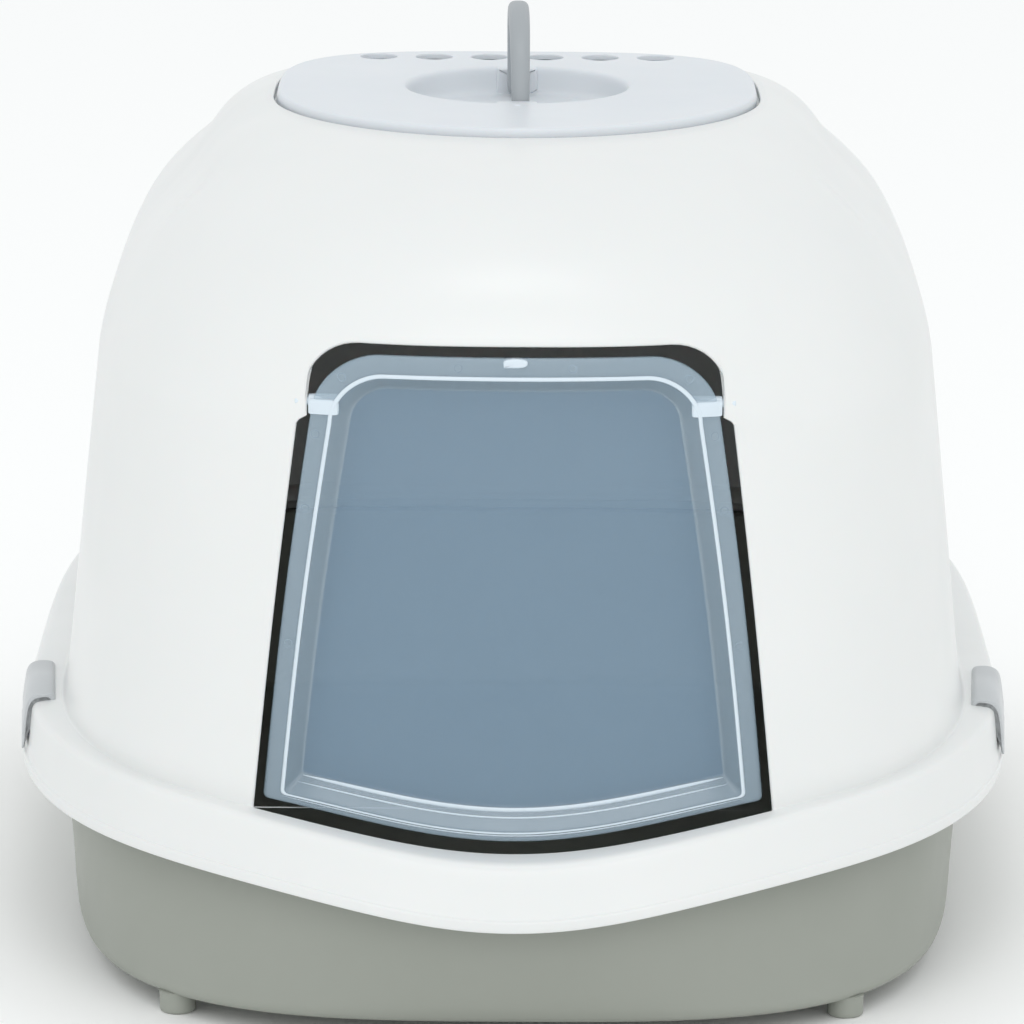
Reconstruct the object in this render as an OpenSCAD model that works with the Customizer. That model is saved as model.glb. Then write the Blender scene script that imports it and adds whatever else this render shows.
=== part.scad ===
// Hooded litter box: tray with feet, clip-on hood, swinging entry door, vented top lid
// with a folding carry handle, and two side latches.
// +X is the box's right seen from its front, the front faces -Y, +Z is up, the feet stand on z = 0.

/* [Overall] */
// Width over the hood's flange
flange_w = 402; // [330:1:490]
// Length over the hood's flange
flange_d = 570; // [470:1:690]
// Height of the hood's crown, where the lid sits
crown_z = 331; // [275:1:400]
// Distance from the front end to the widest station of the box
widest_y = 247; // [210:1:290]

/* [Hood] */
// Wall thickness of the hood
hood_t = 2.5; // [2:0.1:3.5]
// Height of the flange's lower edge above the ground, along the sides
lip_z = 69; // [60:1:95]
// How far the flange dips at the middle of the front
lip_dip = 17.7; // [0:0.1:22]
// Half-breadth of that dip
dip_spread = 85; // [60:1:110]
// Height of the flange band
band_h = 25; // [20:1:30]
// Inset of the hood wall from the flange's edge at the sides
side_inset = 20; // [16:0.5:26]
// Inset of the hood wall from the flange's edge at the front
front_inset = 19; // [16:0.5:26]
// Height over which the sides and rear round into the crown
crown_h = 91; // [70:1:110]
// Height over which the front rounds into the crown, above the entry
brow_round = 70; // [50:1:80]
// Depth of the hand hollow on each shoulder
scoop_depth = 5.5; // [0:0.5:8]

/* [Entry] */
// Half-width of the entry at its sill
entry_low = 99; // [80:1:110]
// Half-width of the entry just under the hinge
entry_mid = 82.3; // [68:0.1:95]
// Half-width of the entry above the hinge
entry_top = 78.4; // [64:0.1:90]
// Distance from the crown down to the top of the entry
brow_h = 58; // [50:1:75]
// Gap between the door and the sides of the entry
door_gap = 3.5; // [2.5:0.1:6]
// Door wall thickness
door_t = 2; // [1.6:0.1:3]
// Depth of the door's inner panel behind its border
panel_depth = 8; // [4:0.5:10]
// Radius of the hinge pins
pin_r = 1.6; // [1.4:0.1:3]

/* [Lid] */
// Half-width of the top lid
lid_half = 97; // [80:1:110]
// Reach of the lid forward of the widest station
lid_fore = 97; // [80:1:110]
// Reach of the lid behind the widest station
lid_aft = 95; // [80:1:110]
// Thickness of the lid above its seat
lid_t = 6; // [4:0.5:8]
// Radius of the finger recess
recess_r = 46; // [38:1:52]
// Depth of the finger recess
recess_depth = 11; // [10:0.5:16]
// Radius of each vent hole
vent_r = 7.7; // [5:0.1:9]
// Number of vent holes
vent_count = 6; // [2:2:8]

/* [Handle] */
// Outer radius of the handle's arch
arch_r = 39.5; // [34:0.5:46]
// Depth of the handle's section
arch_t = 8; // [6:0.5:10]
// Breadth of the handle's section
arch_w = 8.4; // [6:0.1:9]

/* [Tray] */
// Wall thickness of the tray
tray_t = 2.5; // [2:0.1:3.5]
// Height of the tray floor's underside
floor_z = 7.5; // [6:0.5:14]
// Diameter of each foot
foot_d = 14; // [10:0.5:20]
// Distance of the feet from the middle, across
foot_x = 130; // [95:1:140]
// Distance of the feet in from each end
foot_inset = 67; // [60:1:110]

/* [Latches] */
// Length of each latch
latch_len = 56; // [40:1:64]
// Distance of the latches forward of the widest station
latch_fore = 42; // [20:1:50]

/* [Hidden] */
$fn = 64;

run_gap = 0.1;      // radial clearance of a pin in its bore
part_gap = 0.4;     // clearance between bodies that lie close together
bite = 0.5;         // depth by which joined shapes run into each other
around = 72;        // points around each ring of a lofted shell
flange_ma = 4.4;    // rear exponent of the flange and the tray

half_w = flange_w / 2;
front_y = -flange_d / 2;
mid_y = front_y + widest_y;
aft_len = flange_d - widest_y;

// ---- Lofted shells -------------------------------------------------------------------------
// A ring is a superellipse in plan: half-width a, fore and aft reach from mid_y, an exponent for
// each end, and a height. drop is the share of the front dip that the ring takes.
function dip(x, drop) = drop * lip_dip * exp(-pow(x / dip_spread, 2));
function unit_r(c, s, m) = 1 / pow(pow(abs(c), m) + pow(abs(s), m), 1 / m);
function ring(a, fore, aft, mf, ma, z, drop = 0) =
    [for (i = [0 : around - 1])
        let (t = 360 * i / around, c = cos(t), s = sin(t),
             r = unit_r(c, s, s < 0 ? mf : ma),
             x = a * r * c)
        [x, mid_y + (s < 0 ? fore : aft) * r * s, z - (s < 0 ? dip(x, drop) : 0)]];

// The same ring given by its inset from the flange's edge at the side, front and rear
function flange_ring(side, front, rear, z, mf = 2.4, ma = flange_ma, drop = 1) =
    ring(half_w - side, widest_y - front, aft_len - rear, mf, ma, lip_z + z, drop);

// Skins a list of rings into one closed solid, with a flat cap on the first and the last ring
module loft(rings) {
    count = len(rings);
    cap_low = [for (i = [0 : around - 1]) i];
    cap_high = [for (i = [around - 1 : -1 : 0]) (count - 1) * around + i];
    sides = [for (k = [0 : count - 2], i = [0 : around - 1], half = [0, 1])
        let (j = (i + 1) % around, a = k * around + i, b = k * around + j,
             c = (k + 1) * around + j, d = (k + 1) * around + i)
        half == 0 ? [a, c, b] : [a, d, c]];
    polyhedron([for (r = rings, p = r) p], concat([cap_low], sides, [cap_high]), convexity = 8);
}

// Closes the outer rings, listed upwards, with the inner rings, listed downwards
module shell(outer, inner) {
    rings = concat(outer, inner);
    count = len(rings);
    faces = [for (k = [0 : count - 1], i = [0 : around - 1], half = [0, 1])
        let (j = (i + 1) % around, n = (k + 1) % count,
             a = k * around + i, b = k * around + j, c = n * around + j, d = n * around + i)
        half == 0 ? [a, c, b] : [a, d, c]];
    polyhedron([for (r = rings, p = r) p], faces, convexity = 10);
}

// ---- Hood ----------------------------------------------------------------------------------
wall_z = lip_z + band_h + 10;       // foot of the hood wall
crown_foot = crown_z - crown_h;     // where the wall starts to round over
wall_draft = 0.102;                 // lean of the side walls
front_draft = 0.02;                 // lean of the front wall
rear_draft = 0.12;                  // lean of the rear wall
seat_gap = 2;                       // gap around the lid
ledge_w = 11;                       // width of the ledge that carries the lid
ledge_drop = 3;                     // depth of that ledge below the crown
wall_mf = 3;                        // front exponent of the wall, flatter than the flange's
wall_ma = 3.5;                      // rear exponent of the wall

function round_over(t, p) = pow(1 - pow(t, p), 1 / p);
function scoop(t) = scoop_depth * exp(-pow((t - 0.71) / 0.15, 2));

// Inset of the wall at height z for a draft, before it rounds over
function drafted(inset, draft, z) = inset + draft * (z - wall_z);

// Ring of the hood at height z, drawn in by skin: a drafted wall that rounds over into the crown
function hood_ring(z, skin) =
    let (t = max(0, (z - crown_foot) / crown_h),
         brow = max(0, 1 - (crown_z - z) / brow_round),
         side = half_w - drafted(side_inset, wall_draft, z),
         side_top = half_w - drafted(side_inset, wall_draft, crown_z),
         fore = widest_y - drafted(front_inset, front_draft, z),
         fore_top = widest_y - drafted(front_inset, front_draft, crown_z),
         aft = aft_len - drafted(side_inset, rear_draft, z),
         aft_top = aft_len - drafted(side_inset, rear_draft, crown_z),
         lid_a = lid_half + seat_gap, lid_f = lid_fore + seat_gap, lid_r = lid_aft + seat_gap,
         fade = max(0, 1 - (z - wall_z) / 50))
    ring(side - (side_top - lid_a) * (1 - round_over(t, 1.62)) - scoop(t) - skin,
         fore - (fore_top - lid_f) * (1 - round_over(brow, 2.2)) - skin,
         aft - (aft_top - lid_r) * (1 - round_over(t, 1.3)) - skin,
         wall_mf - (wall_mf - 2) * t, wall_ma, z - skin * t * t, z <= wall_z ? 1 : fade);

function lid_ring(grow, z) =
    ring(lid_half + grow, lid_fore + grow, lid_aft + grow, 2, wall_ma, z);

crown_steps = [0, 0.16, 0.32, 0.46, 0.58, 0.68, 0.77, 0.85, 0.91, 0.96, 0.985];
wall_steps = [0, 0.25, 0.5, 0.75];
hood_heights = concat([for (s = wall_steps) wall_z + s * (crown_foot - wall_z)],
                      [for (s = crown_steps) crown_foot + s * crown_h]);
reversed_heights = [for (i = [len(hood_heights) - 1 : -1 : 0]) hood_heights[i]];
// Underside of the flange, where a bead rests on the tray's rim
rest_z = band_h - 4.7;

module hood_shell() {
    outer = concat(
        [flange_ring(0, 0, 0, 0), flange_ring(0, 0, 0, 4.4), flange_ring(1, 1, 1, 5.2),
         flange_ring(3, 4.2, 3, band_h - 2.5), flange_ring(4.2, 5.7, 4.2, band_h),
         flange_ring(6.8, 8, 6.8, band_h + 1.2),
         flange_ring(side_inset - 3, front_inset - 2.6, side_inset - 3, band_h + 2, 2.5),
         flange_ring(side_inset - 0.7, front_inset - 0.6, side_inset - 0.7, band_h + 4.4, 2.7)],
        [for (z = hood_heights) hood_ring(z, 0)],
        [lid_ring(seat_gap, crown_z), lid_ring(seat_gap - 0.4, crown_z - ledge_drop),
         lid_ring(-ledge_w, crown_z - ledge_drop)]);
    inner = concat(
        [lid_ring(-ledge_w, crown_z - ledge_drop - hood_t)],
        [for (z = reversed_heights) hood_ring(z, hood_t)],
        [flange_ring(side_inset + 1.4, front_inset + 1.4, side_inset + 1.4, band_h + 2.6, 2.7),
         flange_ring(side_inset - 2.4, front_inset - 2, side_inset - 2.4, band_h - 0.6, 2.5),
         flange_ring(15, 14.5, 15, rest_z, 2.4), flange_ring(12, 11.5, 12, rest_z, 2.4),
         flange_ring(11, 10.5, 11, band_h - 1.6), flange_ring(8.5, 8.5, 8.5, band_h - 2.2),
         flange_ring(5.1, 6.3, 5.1, band_h - 5), flange_ring(3.2, 3.2, 3.2, 5),
         flange_ring(2.5, 2.5, 2.5, 0)]);
    shell(outer, inner);
}

// ---- Entry and door, drawn in front view ---------------------------------------------------
entry_z = crown_z - brow_h;          // top of the entry
hinge_z = entry_z - 23;              // height of the door's hinge axis
corner_x = 21;                       // breadth and height of the entry's upper corners
corner_z = 19.7;
corner_from = 18;                    // angle at which those corners start, above the level
step_z = hinge_z - 6;                // the entry widens below this height
door_bow_r = 300;                    // radius of the door's bow in plan
door_front = front_inset + 2;        // depth of the door's outer face at its middle
hinge_depth = door_front + 13.2;     // depth of the hinge axis
hinge_y = front_y + hinge_depth;
socket_x = entry_top + 0.9;          // inner face of the hinge sockets
socket_w = 5;

// Height of the entry's sill at x
function sill(x) = lip_z + band_h + 2 - dip(x, 1);

// Half of the entry's outline, from the middle of the sill to the middle of the top
function entry_half() = concat(
    [for (i = [0 : 10]) let (x = entry_low * i / 10) [x, sill(x)]],
    [[entry_mid, step_z - 2], [entry_mid - 1.5, step_z], [entry_top, step_z + 1]],
    [for (i = [0 : 8]) let (t = corner_from + (90 - corner_from) * i / 8)
        [entry_top + corner_x * (cos(t) - cos(corner_from)), entry_z - corner_z + corner_z * sin(t)]]);

// Half of a door outline, drawn in by inset from the door's edge
door_corner_x = 26;
door_corner_z = 24;
door_low = entry_low - door_gap;
neck_gap = 1.2;                      // gap between the door and the entry beside the hinge
door_top = entry_top - neck_gap;
door_head = entry_z - 3.8;
function door_half(inset) =
    let (low = door_low - inset, top = door_top - inset, head = door_head - inset * 0.8,
         rx = max(8, door_corner_x - inset * 0.5), rz = max(6, door_corner_z - inset * 0.4),
         foot = sill(low) + door_gap + inset + 3)
    concat(
        [for (i = [0 : 10]) let (x = (low - 4) * i / 10) [x, sill(x) + door_gap + inset]],
        [[low - 1.2, foot - 2], [low, foot + 1]],
        [for (i = [0 : 8]) let (t = 90 * i / 8) [top - rx + rx * cos(t), head - rz + rz * sin(t)]]);

function mirrored(half_outline) =
    concat(half_outline, [for (i = [len(half_outline) - 1 : -1 : 1])
        [-half_outline[i][0], half_outline[i][1]]]);

// Stands a front-view outline up and gives it depth, from y0 to y1 behind the front end
module upright(outline, y0, y1) {
    translate([0, front_y + y1, 0]) rotate([90, 0, 0])
        linear_extrude(y1 - y0) polygon(mirrored(outline));
}

// Bowed skin of the door, from depth to depth + t behind the front end
module bowed(depth, t) {
    translate([0, front_y + depth + door_bow_r, sill(0) - 5]) difference() {
        cylinder(r = door_bow_r, h = entry_z - sill(0) + 10, $fn = 128);
        translate([0, 0, -1])
            cylinder(r = door_bow_r - t, h = entry_z - sill(0) + 12, $fn = 128);
    }
}

border_w = 14;
module entry_door() {
    color([0.66, 0.74, 0.80, 0.6]) union() {
        intersection() {
            bowed(door_front, door_t);
            difference() {
                upright(door_half(0), 0, 90);
                upright(door_half(border_w), -1, 91);
            }
        }
        intersection() {
            bowed(door_front, panel_depth + door_t);
            difference() {
                upright(door_half(border_w - bite), 0, 90);
                upright(door_half(border_w + door_t), -1, 91);
            }
        }
        intersection() {
            bowed(door_front + panel_depth, door_t);
            upright(door_half(border_w + door_t - bite), 0, 90);
        }
        for (side = [-1, 1]) door_pin(side);
        // Stop tab at the middle of the door's head
        translate([-4.75, front_y + door_front - 0.8, door_head - 3.4]) cube([9.5, 3.6, 3.5]);
    }
}

// Barrel across the door's border, and the pin that it carries into the hood
module door_pin(side) {
    barrel_in = door_top - 11;
    barrel_out = entry_top - part_gap;
    translate([side * barrel_in, hinge_y, hinge_z]) rotate([0, side * 90, 0])
        cylinder(r = pin_r + 1.2, h = barrel_out - barrel_in);
    translate([side * (barrel_out - bite), hinge_y, hinge_z]) rotate([0, side * 90, 0])
        cylinder(r = pin_r, h = socket_x + socket_w - 1 - barrel_out + bite);
    // Web that ties the barrel to the border's outer face
    translate([side * (barrel_in + (door_top - 2 - barrel_in) / 2), hinge_y - 2, hinge_z])
        cube([door_top - 2 - barrel_in, 4, 2 * pin_r + 1], center = true);
}

// Block inside the hood that carries one pin
module hinge_socket(side) {
    translate([side > 0 ? socket_x : -socket_x - socket_w, hinge_y - pin_r - 0.9, hinge_z - 5])
        cube([socket_w, 7.6, 10]);
}

module hinge_bore(side) {
    translate([side * (socket_x - 4), hinge_y, hinge_z]) rotate([0, side * 90, 0])
        cylinder(r = pin_r + run_gap, h = socket_w + 4.01);
}

// ---- Latches -------------------------------------------------------------------------------
latch_y = mid_y - latch_fore;
latch_x = half_w * pow(1 - pow(latch_fore / widest_y, 2.4), 1 / 2.4);   // flange's edge there
latch_yaw = 4;                       // the latch follows the flange's plan by this turn
pivot_in = 12.5;                     // distance of the latch's pivot in from the flange's edge
pivot_up = band_h - 1;               // height of the pivot above the lip
latch_pin_r = 1.6;
boss_r = 3.4;
boss_len = 5;
barb_low = 7.4;                      // the barb's height above the lip
barb_high = 11;
window_len = 30;                     // window in the flange band that the barb passes

// Section of a latch: [distance out from the flange's edge, height above the lip]
latch_section = [
    [-pivot_in - 1.1, band_h - 1], [-pivot_in - 1.1, band_h + 3.4], [3 - pivot_in, band_h + 4.2],
    [-5.2, band_h + 3.8], [-2.4, band_h + 1.7], [-1.4, band_h - 2.5],
    [-0.5, band_h - 9], [0, band_h - 12.6], [-0.6, band_h - 13.6],
    [0.5, 6.4], [-0.7, 6.4], [-1.2, barb_low],
    [-2.6, band_h - 2.6], [-4.6, band_h + 1.2], [-7, band_h + 2.1],
    [1.1 - pivot_in, band_h + 2.4], [1.1 - pivot_in, band_h - 1]];

// Stands a shape drawn at the flange's edge in its place on the right side
module at_latch() {
    translate([latch_x, latch_y, lip_z]) rotate([0, 0, -latch_yaw]) children();
}

// Lays a section [out, up] along the flange at the latch
module along(section, len) {
    at_latch() translate([0, len / 2, 0]) rotate([90, 0, 0]) linear_extrude(len) polygon(section);
}

// Lays a round of one radius along the latch's pivot, centred at the distance off from its middle
module pivot_round(r, len, off = 0) {
    at_latch() translate([-pivot_in, off, pivot_up]) rotate([90, 0, 0])
        cylinder(r = r, h = len, center = true);
}

module latch_right_shape() {
    along(latch_section, latch_len);
    along([[-5.8, barb_low + 0.6], [-0.4, barb_low - 0.4],
           [-0.4, barb_high + 0.4], [-5.8, barb_high]], window_len - 4);
    pivot_round(latch_pin_r, latch_len + 2 * boss_len - 1);
}

module latch_right() {
    color([0.76, 0.79, 0.81]) latch_right_shape();
}

module latch_left() {
    color([0.76, 0.79, 0.81]) mirror([1, 0, 0]) latch_right_shape();
}

// Slot, window and pivot bosses that the hood has for one latch, for the right side
module latch_slot() {
    along([[-pivot_in - 4.8, band_h - 5], [2.2 - pivot_in, band_h - 5],
           [2.2 - pivot_in, band_h + 4], [-pivot_in - 4.8, band_h + 4]], latch_len + 2 * part_gap);
    along([[-8.5, barb_low - 1.6], [2, barb_low - 1.6], [2, band_h - 7], [-8.5, band_h - 7]],
          window_len);
}

module latch_bosses() {
    for (end = [-1, 1]) pivot_round(boss_r, boss_len, end * (latch_len + 2 * part_gap + boss_len) / 2);
}

module latch_bores() {
    pivot_round(latch_pin_r + run_gap, latch_len + 2 * boss_len + 4);
}

module hood() {
    color([0.95, 0.96, 0.97]) difference() {
        union() {
            difference() {
                hood_shell();
                upright(entry_half(), -5, 60);
                for (side = [0, 1]) mirror([side, 0, 0]) latch_slot();
            }
            for (side = [-1, 1]) hinge_socket(side);
            for (side = [0, 1]) mirror([side, 0, 0]) latch_bosses();
        }
        for (side = [-1, 1]) hinge_bore(side);
        for (side = [0, 1]) mirror([side, 0, 0]) latch_bores();
    }
}

// ---- Tray ----------------------------------------------------------------------------------
rim_z = rest_z - part_gap;           // top of the tray's rim above the lip
module tray_shell() {
    wall_in = 17;
    outer = [
        flange_ring(32, 30, 32, floor_z - lip_z, 3.2, flange_ma, 0),
        flange_ring(27, 26.5, 27, floor_z + 1 - lip_z, 3.2, flange_ma, 0),
        flange_ring(24.5, 24.5, 24.5, floor_z + 4 - lip_z, 3.1, flange_ma, 0),
        flange_ring(22.8, 23, 22.8, floor_z + 9 - lip_z, 2.9, flange_ma, 0),
        flange_ring(wall_in + 1.9, wall_in + 2.5, wall_in + 1.9, -6, 2.5, flange_ma, 0.9),
        flange_ring(wall_in, wall_in, wall_in, rim_z - 4.4),
        flange_ring(wall_in - 2, wall_in - 2, wall_in - 2, rim_z - 2.4),
        flange_ring(7.1, 8.2, 7.1, rim_z - 2.4),
        flange_ring(6.9, 8, 6.9, rim_z - 4.6),
        flange_ring(5.1, 6, 5.1, rim_z - 5),
        flange_ring(5.6, 6.8, 5.6, rim_z - 1), flange_ring(7.4, 8.6, 7.4, rim_z)];
    inner = [
        flange_ring(wall_in + tray_t, wall_in + tray_t, wall_in + tray_t, rim_z),
        flange_ring(wall_in + 1.9 + tray_t, wall_in + 2.5 + tray_t, wall_in + 1.9 + tray_t,
                    -6, 2.5, flange_ma, 0.9),
        flange_ring(22.8 + tray_t, 23 + tray_t, 22.8 + tray_t, floor_z + 10 - lip_z,
                    2.9, flange_ma, 0),
        flange_ring(27, 27, 27, floor_z + 5.5 - lip_z, 3.1, flange_ma, 0),
        flange_ring(29.6, 29.2, 29.6, floor_z + tray_t + 0.8 - lip_z, 3.2, flange_ma, 0),
        flange_ring(34, 32, 34, floor_z + tray_t - lip_z, 3.2, flange_ma, 0)];
    loft(concat(outer, inner));
}

module litter_tray() {
    color([0.63, 0.66, 0.63]) {
        tray_shell();
        for (x = [-foot_x, foot_x], y = [front_y + foot_inset, -front_y - foot_inset])
            translate([x, y, 0]) {
                cylinder(d1 = foot_d - 1.6, d2 = foot_d, h = 0.8);
                translate([0, 0, 0.8]) cylinder(d = foot_d, h = floor_z + 1.2);
            }
    }
}

// ---- Lid, handle and filter ----------------------------------------------------------------
lid_seat_z = crown_z - ledge_drop + part_gap;
lid_top = lid_seat_z + lid_t;
lid_skin = 2.2;
skirt = ledge_w + 0.6;                         // inset of the lid's skirt from the lid's edge
skirt_t = 2;
recess_y = mid_y + 9;
recess_floor = lid_top - recess_depth;
arch_z = recess_floor + arch_w / 2 + 1.2;     // height of the handle's axis
arch_pin_r = 2;
vent_y = mid_y + lid_aft - 16;
vent_pitch = 23;
boss_w = 17;                                   // breadth of the handle's bosses in the recess

function lid_outline(shrink) = [for (p = lid_ring(-shrink, 0)) [p[0], p[1]]];

module lid_plan(shrink, z0, z1) {
    translate([0, 0, z0]) linear_extrude(z1 - z0) polygon(lid_outline(shrink));
}

module top_lid() {
    color([0.93, 0.94, 0.96]) difference() {
        union() {
            difference() {
                union() {
                    lid_plan(0, lid_seat_z, lid_top - 1);
                    lid_plan(1, lid_top - 1 - 0.01, lid_top);
                }
                lid_plan(2.5, lid_seat_z - 1, lid_top - lid_skin);
            }
            // Seat on the hood's ledge, and the skirt that hangs inside it
            difference() {
                union() {
                    lid_plan(2, lid_seat_z, lid_seat_z + 1.6);
                    lid_plan(skirt, lid_seat_z - 8, lid_seat_z + bite);
                }
                lid_plan(skirt + skirt_t, lid_seat_z - 9, lid_seat_z + 2);
            }
            translate([0, recess_y, recess_floor - lid_skin])
                cylinder(r = recess_r + lid_skin, h = lid_top - recess_floor + lid_skin);
            // Moulded pointer in front of the recess
            translate([0, recess_y - recess_r - 5, lid_top - 1]) linear_extrude(1.4)
                polygon([[-1.4, -1.2], [1.4, -1.2], [0, 1.4]]);
        }
        difference() {
            translate([0, recess_y, recess_floor])
                cylinder(r = recess_r, h = recess_depth + 1);
            for (end = [-1, 1])
                translate([-boss_w / 2, recess_y + end * (arch_r + 0.6 + recess_r / 2) - recess_r / 2,
                           recess_floor - bite])
                    cube([boss_w, recess_r, recess_depth + bite]);
        }
        for (end = [-1, 1])
            translate([0, recess_y + end * (arch_r - 1), arch_z]) rotate([-end * 90, 0, 0])
                cylinder(r = arch_pin_r + run_gap, h = recess_r - arch_r + lid_skin + 2);
        for (i = [0 : vent_count - 1])
            translate([(i - (vent_count - 1) / 2) * vent_pitch, vent_y, lid_top - lid_skin - 1])
                cylinder(r = vent_r, h = lid_skin + 2);
    }
}

module carry_handle() {
    inner_r = arch_r - arch_t;
    color([0.69, 0.72, 0.73]) translate([0, recess_y, arch_z]) {
        rotate([0, 0, 90]) rotate([90, 0, 0]) rotate_extrude(angle = 180)
            translate([inner_r + arch_t / 2, 0]) handle_section();
        for (end = [-1, 1]) translate([0, end * (inner_r + arch_t / 2), 0]) {
            rotate([0, 90, 0]) cylinder(d = arch_t, h = arch_w - 1, center = true);
            rotate([-end * 90, 0, 0])
                cylinder(r = arch_pin_r, h = arch_t / 2 + recess_r - arch_r + 1);
        }
    }
}

// Section of the handle: a flat band with rounded edges
module handle_section() {
    round_r = 2.4;
    square([arch_t - 2 * round_r, arch_w], center = true);
    square([arch_t, arch_w - 2 * round_r], center = true);
    for (x = [-1, 1], y = [-1, 1])
        translate([x * (arch_t / 2 - round_r), y * (arch_w / 2 - round_r)])
            circle(r = round_r, $fn = 32);
}

pad_w = 146;
pad_t = 8;
pad_y0 = recess_y + recess_r + lid_skin + 1.4;
pad_y1 = mid_y + lid_aft - ledge_w - 5;
pad_top = lid_top - lid_skin - 1;

module filter_pad() {
    color([0.82, 0.84, 0.85]) intersection() {
        translate([-pad_w / 2, pad_y0, pad_top - pad_t]) cube([pad_w, pad_y1 - pad_y0, pad_t]);
        lid_plan(skirt + skirt_t + part_gap, pad_top - pad_t - 1, pad_top + 1);
    }
}

module filter_grille() {
    frame_w = 1.8;
    bars = 11;
    z0 = pad_top - pad_t - 2.4;
    span_y = pad_y1 - pad_y0;
    color([0.90, 0.92, 0.93]) difference() {
        intersection() {
            translate([-pad_w / 2 - frame_w, pad_y0 - 0.8, z0])
                cube([pad_w + 2 * frame_w, span_y + 1.6, 2.2]);
            lid_plan(skirt + skirt_t, z0 - 1, z0 + 4);
        }
        for (i = [0 : bars - 1])
            translate([-pad_w / 2 + 2 + i * (pad_w - 2) / bars, pad_y0 + 1.5, z0 - 1])
                cube([(pad_w - 2) / bars - 2, span_y - 3, 5]);
    }
}

litter_tray();
hood();
top_lid();
carry_handle();
entry_door();
latch_left();
latch_right();
filter_pad();
filter_grille();
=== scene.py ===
"""Hooded cat litter box: tray, domed hood, swinging flap, vented top lid, carry handle and latches.

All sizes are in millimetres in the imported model's frame: +X to the right seen from the front, -Y
towards the entry, +Z up, feet on z = 0. Meshes are scaled to metres as they are made.
"""
from __future__ import annotations

import logging
from dataclasses import dataclass, field
from enum import Enum
from typing import Iterable, Sequence

import bmesh
import bpy
import numpy as np
from mathutils import Matrix, Vector
from mathutils.geometry import delaunay_2d_cdt


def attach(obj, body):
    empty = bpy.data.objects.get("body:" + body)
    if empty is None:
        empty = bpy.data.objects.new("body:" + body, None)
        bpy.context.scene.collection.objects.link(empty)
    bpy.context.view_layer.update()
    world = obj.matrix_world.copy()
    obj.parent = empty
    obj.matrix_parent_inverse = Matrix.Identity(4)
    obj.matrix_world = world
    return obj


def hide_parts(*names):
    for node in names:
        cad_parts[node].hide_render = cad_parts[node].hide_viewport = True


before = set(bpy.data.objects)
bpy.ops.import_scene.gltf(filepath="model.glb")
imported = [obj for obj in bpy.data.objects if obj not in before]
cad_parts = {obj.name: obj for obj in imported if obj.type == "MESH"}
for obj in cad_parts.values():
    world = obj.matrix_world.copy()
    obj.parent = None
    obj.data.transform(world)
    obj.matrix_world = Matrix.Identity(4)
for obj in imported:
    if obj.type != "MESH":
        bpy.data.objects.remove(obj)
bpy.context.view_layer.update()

log = logging.getLogger("litter_box")
MM = 0.001
Array = np.ndarray


# ---- Mesh making ---------------------------------------------------------------------------------
class Shade(Enum):
    """How a group of faces is shaded."""

    SMOOTH = 0
    FLAT = 1


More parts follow.
